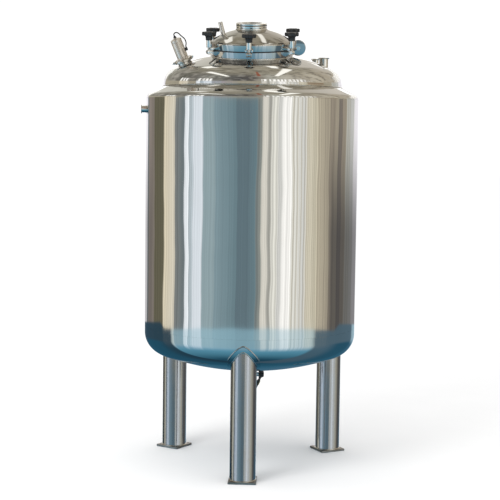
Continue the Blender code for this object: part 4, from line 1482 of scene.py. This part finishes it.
@dataclass
class Ferrule:
    """A clamp ferrule: a short tube with a flange and a gasket groove in its face."""

    name: str
    node: str
    frame: Matrix
    foot: float
    outside: Callable[[Vector], float]
    size: FerruleSize = FerruleSize.SMALL
    wall: float = 0.002
    thickness: float = 0.003

    def build(self) -> None:
        """Build the ferrule and the weld at its root."""
        bore, flange = self.size.value
        inner = bore - self.wall
        groove = (flange + bore) / 2 - 0.0008
        corners = [
            (flange, 0.0, 0.0007), (flange, -self.thickness, 0.0007), (bore, -2 * self.thickness, 0.0015),
            (bore, self.foot, 0.0), (inner, self.foot, 0.0), (inner, 0.0, 0.0004), (groove - 0.0016, 0.0, 0.0002),
            (groove - 0.0010, -0.0010, 0.0003), (groove + 0.0010, -0.0010, 0.0003), (groove + 0.0016, 0.0, 0.0002),
        ]
        fit(self.name, spun(corners, ring=True), MACHINED, self.frame, replaces=self.node)
        path = seam_path(self.frame, bore + 0.0006, self.outside, 0.10)
        bead(f"{self.name}_weld", path, 0.0020, 0.05, up=self.frame.to_3x3() @ UP)


@dataclass
class Leg:
    """One leg: its tube, foot plate, doubling pad and welds."""

    name: str
    angle: float
    jacket: Jacket
    radius: float = 0.0698
    wall: float = 0.003
    plate: float = 0.150
    plate_thickness: float = 0.012
    pad_thickness: float = 0.004
    pad_radius: float = 0.088
    pad_start: float = 0.40
    pad_rim: float = 0.02
    pad_spread: float = radians(14.0)
    arch_top: float = 0.005
    arch_depth: float = 0.088

    @property
    def circle(self) -> float:
        """Distance of the leg from the tank's axis."""
        return self.jacket.radius - self.radius

    @property
    def frame(self) -> Matrix:
        """The leg's frame, on the floor."""
        return radial(self.angle, self.circle)

    def dish_height(self, point: Vector, grow: float) -> float:
        """Return how high over the floor a surface outside the dish is, at a point in the leg's frame."""
        reach = hypot(self.circle + point.x, point.y)
        return self.jacket.tangent - self.jacket.head.height(reach, grow)

    def build(self) -> None:
        """Build the leg."""
        inner, bottom = self.radius - self.wall, self.plate_thickness + GAP
        steps = FITTING_STEPS * 2
        rows = 18
        sides = []
        for radius in (self.radius, inner):
            ring = circle(radius, 0.0, steps)
            tops = [self.dish_height(point, GAP) for point in ring]
            side = []
            for i in range(rows + 1):
                share = i / rows
                side.append([Vector((p.x, p.y, top + (bottom - top) * share)) for p, top in zip(ring, tops)])
            sides.append(side)
        tube = skin(sides[0] + sides[1][::-1], wrap=True)
        fit(f"leg_tube_{self.name}", tube, SATIN, self.frame, replaces=f"leg_{self.name}")
        self.build_foot()
        self.build_pad()
        ring = circle(self.radius + 0.0012, 0.0, steps)
        path = [Vector((p.x, p.y, min(self.dish_height(p, self.pad_thickness), self.jacket.tangent))) for p in ring]
        bead(f"leg_weld_{self.name}", path, 0.0028, 0.05, self.frame)

    def build_foot(self) -> None:
        """Build the foot plate and the weld round the tube's foot."""
        plate = prism(rectangle(self.plate, self.plate, 0.003), self.plate_thickness, 0.0012)
        spot = self.frame @ at(z=self.plate_thickness / 2)
        fit(f"foot_base_{self.name}", plate, FOOT, spot, replaces=f"foot_plate_{self.name}")
        path = circle(self.radius + 0.001, self.plate_thickness + 0.001, FITTING_STEPS * 2)
        bead(f"foot_weld_{self.name}", path, 0.0034, 0.05, self.frame)

    def arch(self, side: float) -> float:
        """Return the height of the pad's arch at a distance to the side of its middle."""
        reach = self.pad_radius + 0.002
        return self.jacket.tangent + self.arch_top - self.arch_depth * (abs(side) / reach) ** 1.6

    def build_pad(self) -> None:
        """Build the doubling pad between the leg and the dish, and the bead round its arch."""
        head, tangent, radius = self.jacket.head, self.jacket.tangent, self.jacket.radius
        low, high = GAP, GAP + self.pad_thickness
        sides = []
        for grow in (low, high):
            side = [(r, tangent - h) for r, h in head.points(grow, self.pad_start, 24)]
            sides.append(side + [(radius + grow, tangent + self.pad_rim)])
        section = sides[0] + sides[1][::-1]
        half = 20
        fan = []
        for i in range(2 * half + 1):
            angle = radians(self.angle) + self.pad_spread * (i / half - 1)
            fan.append([Vector((r * cos(angle), r * sin(angle), z)) for r, z in section])
        sheet = skin(fan)
        sheet.shade_smooth()
        sheet.set_sharp_from_angle(angle=CRISP)
        # Heights well over and under the pad, for the tools that cut it out
        over, under = 0.9, 0.4
        post = moved(bar(self.pad_radius, over, under, PAD_STEPS), self.frame)
        outline = [(-self.pad_radius, under + 0.02), (self.pad_radius, under + 0.02)]
        count = 16
        for i in range(-count, count + 1):
            side = -self.pad_radius * i / count
            outline.append((side, self.arch(side)))
        arch = prism(outline, 0.3, 0.0)
        # Stands the arch up, square to the leg's X
        facing = Matrix(((0, 0, 1, 0), (1, 0, 0, 0), (0, 1, 0, 0), (0, 0, 0, 1)))
        pad = carved(sheet, post, "INTERSECT")
        pad = carved(pad, moved(arch, self.frame @ facing), "INTERSECT")
        space = moved(bar(self.radius + GAP, over, under - 0.1, PAD_STEPS), self.frame)
        pad = carved(pad, space)
        fit(f"pad_{self.name}", pad, PAD, replaces=f"leg_pad_{self.name}")
        # The bead ends just short of the pad's corners
        path = []
        for i in range(-30, 31):
            side = self.pad_radius * 0.97 * i / 30
            height = min(self.arch(side), tangent + self.arch_top)
            reach = self.reach_at(height, high - 0.001)
            path.append(Vector((sqrt(reach**2 - side**2) - self.circle, side, height)))
        fit(f"pad_bead_{self.name}", swept(path, 0.0034, Vector((1, 0, 0)), False, 0.04), COLLAR, self.frame)

    def reach_at(self, height: float, grow: float) -> float:
        """Return the dish's distance from the tank's axis at a height.

        Args:
            height: The height above the floor.
            grow: Distance outside the dish's surface.

        Returns:
            The distance.
        """
        head = self.jacket.head
        drop = self.jacket.tangent - height
        if drop <= 0:
            return head.radius + grow
        reach = head.knuckle + grow
        edge = reach * cos(head.edge)
        if drop < edge:
            return head.radius - head.knuckle + sqrt(reach**2 - drop**2)
        return sqrt((head.crown + grow) ** 2 - (drop - head.centre) ** 2)


@dataclass
class Outlet:
    """The outlet tube under the dish, and the butterfly valve with its lever."""

    jacket: Jacket
    radius: float = 0.0255
    wall: float = 0.002
    top: float = 0.62
    flange_radius: float = 0.032
    flange_bottom: float = 0.5133
    flange_top: float = 0.5195
    valve_radius: float = 0.039
    valve_bottom: float = 0.4613
    valve_top: float = 0.5127
    stem_height: float = 0.487
    stem_radius: float = 0.006
    stem_hole: float = 0.0066
    boss_radius: float = 0.012
    boss_end: float = 0.055
    vane_radius: float = 0.0228
    handle_start: float = 0.0555
    handle_end: float = 0.085

    def build(self) -> None:
        """Build the outlet, the valve and the lever."""
        bore = self.radius - self.wall
        corners = [
            (self.radius, self.top, 0.0), (self.radius, self.flange_top + 0.001, 0.0015),
            (self.flange_radius, self.flange_top - 0.002, 0.0008), (self.flange_radius, self.flange_bottom, 0.0008),
            (bore, self.flange_bottom, 0.0004), (bore, self.top, 0.0),
        ]
        fit("outlet_spigot", spun(corners, ring=True), MACHINED, replaces="outlet_ferrule")
        drop = self.jacket.tangent - self.jacket.head.height(self.radius)
        bead("outlet_weld", circle(self.radius + 0.0008, drop - 0.0008, FITTING_STEPS * 2), 0.0026, 0.05)
        self.build_body(bore)
        self.build_moving()

    def build_body(self, bore: float) -> None:
        """Build the valve's two-part body and its boss.

        Args:
            bore: Radius of the way through.
        """
        outer, low, high = self.valve_radius, self.valve_bottom, self.valve_top
        middle = (low + high) / 2
        corners = [
            (outer - 0.0045, high, 0.0010), (outer - 0.0045, high - 0.0060, 0.0012), (outer, high - 0.0090, 0.0015),
            (outer, middle + 0.0010, 0.0006), (outer - 0.0015, middle, 0.0002), (outer, middle - 0.0010, 0.0006),
            (outer, low + 0.0090, 0.0015), (outer - 0.0045, low + 0.0060, 0.0012), (outer - 0.0045, low, 0.0010),
            (bore, low, 0.0006), (bore, high, 0.0006),
        ]
        fit("valve_ring", spun(corners, ring=True), MACHINED, replaces="valve_body")
        stem = at(z=self.stem_height) @ SIDEWAYS
        corners = [
            (self.stem_hole, self.boss_end, 0.0004), (self.boss_radius, self.boss_end, 0.0010),
            (self.boss_radius, outer - 0.004, 0.0), (self.stem_hole, outer - 0.004, 0.0),
        ]
        fit("valve_boss", spun(corners, SMALL_STEPS, ring=True), MACHINED, stem)

    def build_moving(self) -> None:
        """Build the vane with its stem, and the lever with its trigger."""
        stem = at(z=self.stem_height) @ SIDEWAYS
        flat = at(z=self.stem_height) @ ACROSS
        vane = spun(mirrored([(AXIS, 0.0026, 0.0), (self.vane_radius, 0.0018, 0.0012)]))
        fit("valve_disc", vane, MACHINED, flat, "lever", "valve_vane")
        rod = bar(self.stem_radius, self.handle_start + 0.0120, -0.018, SMALL_STEPS)
        fit("valve_stem", rod, MACHINED, stem, "lever")
        corners = [
            (self.handle_start, 0.5060, 0.003), (self.handle_start, 0.4620, 0.006), (0.0440, 0.4500, 0.008),
            (0.0385, 0.4300, 0.020), (0.0350, 0.4010, 0.002), (0.0420, 0.3990, 0.002), (0.0520, 0.4220, 0.020),
            (0.0640, 0.4500, 0.020), (0.0700, 0.4680, 0.005), (self.handle_end, 0.4750, 0.004),
            (self.handle_end, 0.5040, 0.003), (0.0700, 0.5060, 0.002),
        ]
        grip = moved(prism(rounded(corners, closed=True), 0.018, 0.0022), ACROSS)
        fit("lever_grip", grip, KNOB, body="lever", replaces="valve_lever")
        corners = [
            (AXIS, self.handle_end, 0.0), (0.0125, self.handle_end, 0.0014), (0.0125, self.handle_start, 0.0010),
            (AXIS, self.handle_start, 0.0),
        ]
        fit("lever_hub", spun(corners, SMALL_STEPS), KNOB, stem, "lever")
        corners = [
            (0.0550, 0.4480, 0.002), (0.0490, 0.4260, 0.004), (0.0560, 0.4255, 0.002), (0.0650, 0.4455, 0.004),
            (0.0650, 0.4570, 0.002),
        ]
        trigger = moved(prism(rounded(corners, closed=True), 0.011, 0.0012), ACROSS)
        fit("lever_trigger", trigger, TRIGGER, body="lever")


class Tone(Enum):
    """Colours of what stands round the tank in the hall."""

    LILAC = (1.05, 1.03, 1.08)
    PALE = (0.62, 0.62, 0.57)
    ASHEN = (0.70, 0.71, 0.69)
    BROWN = (0.36, 0.31, 0.28)
    UMBER = (0.27, 0.24, 0.21)
    OLIVE = (0.17, 0.16, 0.11)
    CREAM = (0.96, 0.87, 0.67)
    STONE = (0.90, 0.85, 0.72)
    IRON = (0.28, 0.30, 0.30)
    SLATE = (0.21, 0.26, 0.285)
    SKY = (1.12, 1.19, 1.27)
    COOL = (0.63, 0.73, 0.80)
    FROST = (0.97, 1.06, 1.16)
    MIST = (0.39, 0.52, 0.57)
    HAZE = (0.30, 0.43, 0.49)
    TEAL = (0.20, 0.31, 0.36)
    DEEP = (0.165, 0.245, 0.29)
    FOG = (0.24, 0.29, 0.30)
    ASH = (0.36, 0.385, 0.36)
    MILK = (0.94, 0.92, 0.84)
    GREY = (0.55, 0.55, 0.51)
    IVORY = (1.02, 1.02, 0.95)
    CLOUD = (0.87, 0.88, 0.86)
    WHITE = (1.30, 1.30, 1.28)
    SAND = (0.86, 0.81, 0.67)
    WHEAT = (0.76, 0.71, 0.56)
    TAUPE = (0.66, 0.60, 0.47)
    MOSS = (0.48, 0.43, 0.34)
    BARK = (0.38, 0.33, 0.27)
    SMOKE = (0.27, 0.26, 0.24)


@dataclass(frozen=True)
class Panel:
    """One upright panel of the hall's wall: where it starts, its tone, and another at its end."""

    start: float
    first: Tone
    last: Tone | None = None


@dataclass(frozen=True)
class Hall:
    """What the polished steel mirrors: the walls, floor and roof of a plain hall, by direction.

    Directions round the tank are in degrees from its front, positive to its right.
    """

    left: tuple[Panel, ...] = (
        Panel(-180.0, Tone.LILAC), Panel(-150.0, Tone.SLATE, Tone.SMOKE), Panel(-143.0, Tone.BROWN, Tone.UMBER),
        Panel(-126.0, Tone.OLIVE), Panel(-105.0, Tone.CREAM, Tone.STONE), Panel(-86.3, Tone.IRON, Tone.SLATE),
        Panel(-72.8, Tone.SKY), Panel(-67.0, Tone.COOL), Panel(-61.5, Tone.FROST), Panel(-49.5, Tone.MIST),
        Panel(-36.0, Tone.HAZE, Tone.TEAL), Panel(-12.0, Tone.DEEP),
    )
    right: tuple[Panel, ...] = (
        Panel(0.0, Tone.DEEP, Tone.TEAL), Panel(8.5, Tone.FOG, Tone.ASH), Panel(14.5, Tone.MILK),
        Panel(21.0, Tone.GREY), Panel(25.0, Tone.IVORY), Panel(31.5, Tone.CLOUD), Panel(36.0, Tone.WHITE),
        Panel(46.0, Tone.IVORY, Tone.CLOUD), Panel(63.5, Tone.SAND, Tone.WHEAT), Panel(78.0, Tone.TAUPE, Tone.MOSS),
        Panel(96.0, Tone.BARK, Tone.MOSS), Panel(109.0, Tone.UMBER), Panel(116.0, Tone.BARK, Tone.MOSS),
        Panel(125.0, Tone.PALE), Panel(136.0, Tone.ASHEN), Panel(147.0, Tone.LILAC),
    )
    seam: float = 0.6
    floor_edge: float = -8.3
    wall_top: float = 1.6
    edge: float = 0.05
    slat: float = 4.6
    pane: float = 5.5
    plain: Colour = (1.07, 1.07, 1.07)
    eaves: Colour = (0.50, 0.46, 0.36)
    old_paint: Colour = (0.34, 0.24, 0.15)
    # Where each roof light crosses the middle, its slant, half its width, and its front and back ends
    roof_lights: tuple[tuple[float, float, float, float, float], ...] = (
        (-0.77, 0.0, 0.080, -1.25, -0.10), (0.455, 0.29, 0.075, -0.95, 0.30), (0.285, 0.29, 0.045, 0.25, 0.80),
        (-0.44, 0.0, 0.080, 0.40, 0.80),
    )

    def build(self) -> None:
        """Make the world: plain white to the eye and to matt surfaces, the hall to shiny ones."""
        world = bpy.data.worlds.new("hall")
        bpy.context.scene.world = world
        world.use_nodes = True
        world.cycles.sampling_method = "NONE"
        tree = Tree(world.node_tree)
        shiny = tree.add("LightPath", output="Is Glossy Ray")
        view = tree.blend(shiny, self.plain, self.colour(tree))
        light = tree.add("Background", {}, {"Color": view})
        tree.add("OutputWorld", {}, {"Surface": light})

    def half(self, tree: Tree, turn: Val, panels: tuple[Panel, ...], low: float) -> Val:
        """Return the colour of half of the wall.

        Args:
            tree: The world's tree.
            turn: Direction round the tank, in degrees.
            panels: The panels of this half.
            low: Where the half starts.

        Returns:
            The colour.
        """
        ends = [panel.start for panel in panels[1:]] + [low + 180.0]
        stops = []
        for panel, end in zip(panels, ends):
            stops.append(((panel.start - low) / 180.0, panel.first.value))
            stops.append(((end - self.seam - low) / 180.0, (panel.last or panel.first).value))
        return tree.add("ValToRGB", {"stops": stops}, {0: (turn - low) / 180.0})

    def colour(self, tree: Tree) -> Val:
        """Return the hall's colour in the direction that is looked at.

        Args:
            tree: The world's tree.

        Returns:
            The colour.
        """
        way = tree.add("TexCoord", output="Generated")
        x = tree.add("SeparateXYZ", {}, {0: way})
        y, z = x.output("Y"), x.output("Z")
        turn = x.math("ARCTAN2", y * -1.0) / DEGREE
        rise = z.math("ARCSINE") / DEGREE
        wall = self.wall(tree, turn, rise)
        light = tree.add("RGBToBW", {}, {0: wall}).rise(0.5, 0.9)
        # The eaves take the wall's tone where it is paler, and show old paint on the right
        eaves = tree.blend(1.0, wall, self.eaves, "LIGHTEN")
        rust = turn.between(76.0, 106.0, 4.0) * rise.between(2.0, 7.5, 1.5)
        eaves = tree.blend(rust * 0.8, eaves, self.old_paint)
        colour = tree.blend(rise.rise(self.wall_top - self.edge, self.wall_top + self.edge), wall, eaves)
        colour = tree.blend(rise.rise(5.0, 11.0), colour, self.roof(tree, x, turn, rise, light))
        # The floor reaches a little higher at the sides
        level = rise - (turn.between(-220.0, -106.0, 14.0) + turn.between(112.0, 220.0, 14.0)) * 0.28
        ground = level.rise(self.floor_edge - self.edge, self.floor_edge + self.edge)
        return tree.blend(ground, self.floor(tree, y, turn, rise, wall), colour)

    def wall(self, tree: Tree, turn: Val, rise: Val) -> Val:
        """Return the colour of the whole wall: panels, slats, fine upright streaks and dark feet.

        Args:
            tree: The world's tree.
            turn: Direction round the tank, in degrees.
            rise: Direction above the level, in degrees.

        Returns:
            The colour.
        """
        halves = [self.half(tree, turn, self.left, -180.0), self.half(tree, turn, self.right, 0.0)]
        wall = tree.blend(turn.math("GREATER_THAN", 0.0), *halves)
        slats = (turn / self.slat).math("FRACT").between(0.2, 0.55, 0.1) * turn.between(45.0, 64.0, 0.5)
        wall = tree.blend(slats * 0.45, wall, Tone.TAUPE.value)
        # Upright streaks, calmer at the front
        settings = {"noise_dimensions": "1D"}
        noise = tree.add("TexNoise", settings, {"W": turn, "Scale": 0.55, "Detail": 3.0})
        tone = tree.add("CombineColor", {}, dict.fromkeys(range(3), noise.rise(0.3, 0.7, 0.80, 1.16)))
        wall = tree.blend(1 - turn.between(-60.0, 8.0, 5.0) * 0.65, wall, tone, "MULTIPLY")
        # Dark feet at both sides
        low = 1 - rise.rise(-4.5, 1.0)
        wall = tree.blend(turn.between(96.0, 175.0, 12.0) * low * 0.78, wall, (0.07, 0.07, 0.075))
        return tree.blend(turn.between(-180.0, -132.0, 10.0) * low * 0.45, wall, (0.07, 0.07, 0.07))

    def roof(self, tree: Tree, x: Val, turn: Val, rise: Val, light: Val) -> Val:
        """Return the colour above the walls: windows under the eaves, sheeting and roof lights.

        Args:
            tree: The world's tree.
            x: The direction's X, whose node also gives Y and Z.
            turn: Direction round the tank, in degrees.
            rise: Direction above the level, in degrees.
            light: How bright the wall below is.

        Returns:
            The colour.
        """
        stops = [
            (0.000, (0.74, 0.70, 0.64)), (0.055, (0.70, 0.69, 0.62)), (0.110, (0.32, 0.31, 0.26)),
            (0.165, (0.40, 0.38, 0.34)), (0.210, (0.18, 0.18, 0.15)), (0.260, (0.22, 0.21, 0.19)),
            (0.340, (0.34, 0.34, 0.31)), (0.400, (0.22, 0.22, 0.20)), (0.465, (0.11, 0.11, 0.11)),
            (0.510, (0.14, 0.13, 0.12)), (0.540, (0.34, 0.31, 0.26)), (0.570, (0.50, 0.50, 0.44)),
            (0.640, (0.66, 0.63, 0.54)), (0.720, (0.52, 0.47, 0.38)), (0.780, (0.72, 0.66, 0.53)),
            (0.830, (0.52, 0.46, 0.36)), (0.900, (0.60, 0.54, 0.44)), (1.000, (0.74, 0.70, 0.64)),
        ]
        sheet = tree.add("ValToRGB", {"stops": stops}, {0: (turn + 180.0) / 360.0})
        # An even tone overhead, with dark and pale patches
        sheet = tree.blend(rise.rise(30.0, 62.0) * 0.85, sheet, (0.38, 0.35, 0.27))
        way = tree.add("TexCoord", output="Generated")
        cloud = tree.add("TexNoise", {}, {"Vector": way, "Scale": 7.0, "Detail": 3.0})
        sheet = tree.blend(cloud.rise(0.52, 0.64) * 0.6, sheet, (0.15, 0.14, 0.12))
        sheet = tree.blend(cloud.rise(0.48, 0.36) * 0.45, sheet, (0.62, 0.59, 0.52))
        # Window panes over the bright parts of the wall
        panes = (turn / self.pane).math("FRACT").between(0.16, 0.80, 0.06) * rise.between(7.5, 20.0, 1.0) * light
        sheet = tree.blend(panes, sheet, (1.45, 1.45, 1.42))
        # Roof lights, on a level ceiling
        across, along = x / x.output("Z"), x.output("Y") / x.output("Z")
        for side, slant, half, front, back in self.roof_lights:
            strip = (across + along * slant).between(side - half, side + half, 0.03) * along.between(front, back, 0.08)
            sheet = tree.blend(strip * rise.rise(20.0, 25.0), sheet, (1.45, 1.44, 1.36))
        # A rust-red patch of the roof
        rust = turn.between(9.5, 14.5, 2.0) * rise.between(38.0, 68.0, 3.0)
        return tree.blend(rust * 0.85, sheet, (0.36, 0.09, 0.04))

    def floor(self, tree: Tree, y: Val, turn: Val, rise: Val, wall: Val) -> Val:
        """Return the blue floor's colour, pale far away and darkening to navy near the tank, where the navy is the
        tank's painted shadow.

        Args:
            tree: The world's tree.
            y: The direction's Y, positive behind the tank.
            turn: Direction round the tank, in degrees.
            rise: Direction above the level, in degrees.
            wall: Colour of the wall above.

        Returns:
            The colour.
        """
        # The floor darkens steeply downwards into the tank's painted shadow, navy under the tank.
        floor_blues_and_shadow = [
            (-90.0, (0.012, 0.05, 0.09)), (-70.0, (0.02, 0.09, 0.15)), (-47.0, (0.08, 0.26, 0.38)),
            (-30.0, (0.12, 0.36, 0.52)), (-21.0, (0.19, 0.47, 0.67)), (-16.0, (0.32, 0.63, 0.84)),
            (-9.0, (0.42, 0.75, 0.93)),
        ]
        stops = [((angle + 90.0) / 90.0, colour) for angle, colour in floor_blues_and_shadow]
        floor = tree.add("ValToRGB", {"stops": stops}, {0: (rise + 90.0) / 90.0})
        # Its own mirror image of the wall, the dark floor at both sides, and the shade behind the tank
        floor = tree.blend(rise.rise(-34.0, -8.0) * 0.5, floor, wall)
        floor = tree.blend(turn.between(-168.0, -90.0, 5.0) * 0.94, floor, (0.018, 0.052, 0.085))
        floor = tree.blend(turn.between(76.0, 152.0, 8.0) * 0.87, floor, (0.07, 0.125, 0.175))
        shade = y.rise(0.1, 0.5) * (1 - rise.rise(-16.0, -10.0))
        return tree.blend(shade * 0.9, floor, (0.02, 0.10, 0.17))


@dataclass
class Studio:
    """The camera at the photograph's angle, the pale floor and one soft lamp."""

    place: tuple[float, float, float] = (0.3998, -7.552, 1.8494)
    heading: float = 3.053
    pitch: float = 4.92
    roll: float = 0.722
    lens: float = 96.38
    sensor: float = 36.0
    floor_radius: float = 60.0
    lamp_place: tuple[float, float, float] = (-2.6, -3.6, 4.4)
    lamp_aim: tuple[float, float, float] = (0.0, 0.0, 2.1)
    lamp_size: float = 2.5
    lamp_energy: float = 110.0

    def build(self) -> None:
        """Build the studio."""
        camera = bpy.data.cameras.new("camera")
        camera.lens = self.lens
        camera.sensor_width = self.sensor
        eye = linked("camera", camera)
        turn = Matrix.Rotation(radians(self.heading), 4, "Z")
        tip = Matrix.Rotation(radians(90.0 - self.pitch), 4, "X")
        roll = Matrix.Rotation(radians(self.roll), 4, "Z")
        eye.matrix_world = at(*self.place) @ turn @ tip @ roll
        bpy.context.scene.camera = eye
        bpy.context.scene.view_settings.view_transform = "Standard"
        self.build_floor()
        key = bpy.data.lights.new("soft_key", "AREA")
        key.shape = "DISK"
        key.size = self.lamp_size
        key.energy = self.lamp_energy
        holder = linked("soft_key", key)
        aim = (Vector(self.lamp_aim) - Vector(self.lamp_place)).to_track_quat("-Z", "Y")
        holder.matrix_world = at(*self.lamp_place) @ aim.to_matrix().to_4x4()
        holder.visible_glossy = False

    def build_floor(self) -> None:
        """Build the floor disc, which the steel doesn't mirror."""
        disc = skin([circle(self.floor_radius, -0.02, SHELL_STEPS), circle(self.floor_radius, -0.0002, SHELL_STEPS)])
        material = bpy.data.materials.new("pale_floor")
        material.use_nodes = True
        tree = Tree(material.node_tree)
        tone = tree.blend(tree.noise(3.0, 3.0), (0.93, 0.93, 0.93), (0.96, 0.96, 0.96))
        shader = tree.add("BsdfDiffuse", {}, {"Color": tone})
        tree.add("OutputMaterial", {}, {"Surface": shader})
        disc.materials.append(material)
        floor = linked("floor", disc)
        floor.visible_glossy = False


def dress_inner_head() -> None:
    """Give the vessel's hidden bottom, which stays as it is, its steel."""
    mesh = frame["nodes"]["vessel_bottom_head"].data
    mesh.materials.clear()
    mesh.materials.append(material_of(INSIDE))
    log.info("vessel_bottom_head: dressed in %s", INSIDE.name)


def main() -> None:
    """Build the tank's pieces in order."""
    logging.basicConfig(level=logging.INFO, format="%(message)s")
    Studio().build()
    Hall().build()
    jacket = Jacket()
    jacket.build()
    TOP.build()
    manhole = Manhole()
    manhole.build()
    Lid().build(manhole)
    for number, angle in enumerate(manhole.angles, 1):
        SwingBolt(number, angle).build(manhole)
    Lamp().build()
    for name, (spot, size) in TOP_FERRULES.items():
        Ferrule(f"ferrule_top_{name}", f"ferrule_{name}", at(*spot), TOP_FOOT, TOP.outside, size).build()
    Ferrule("ferrule_shell", "jacket_ferrule", SIDE_FERRULE, SIDE_FOOT, lambda p: p.xy.length - jacket.radius).build()
    for name, angle in {"front": -90, "right": 30, "left": 150}.items():
        Leg(name, angle, jacket).build()
    Outlet(jacket).build()
    dress_inner_head()


if __name__ == "__main__":
    main()
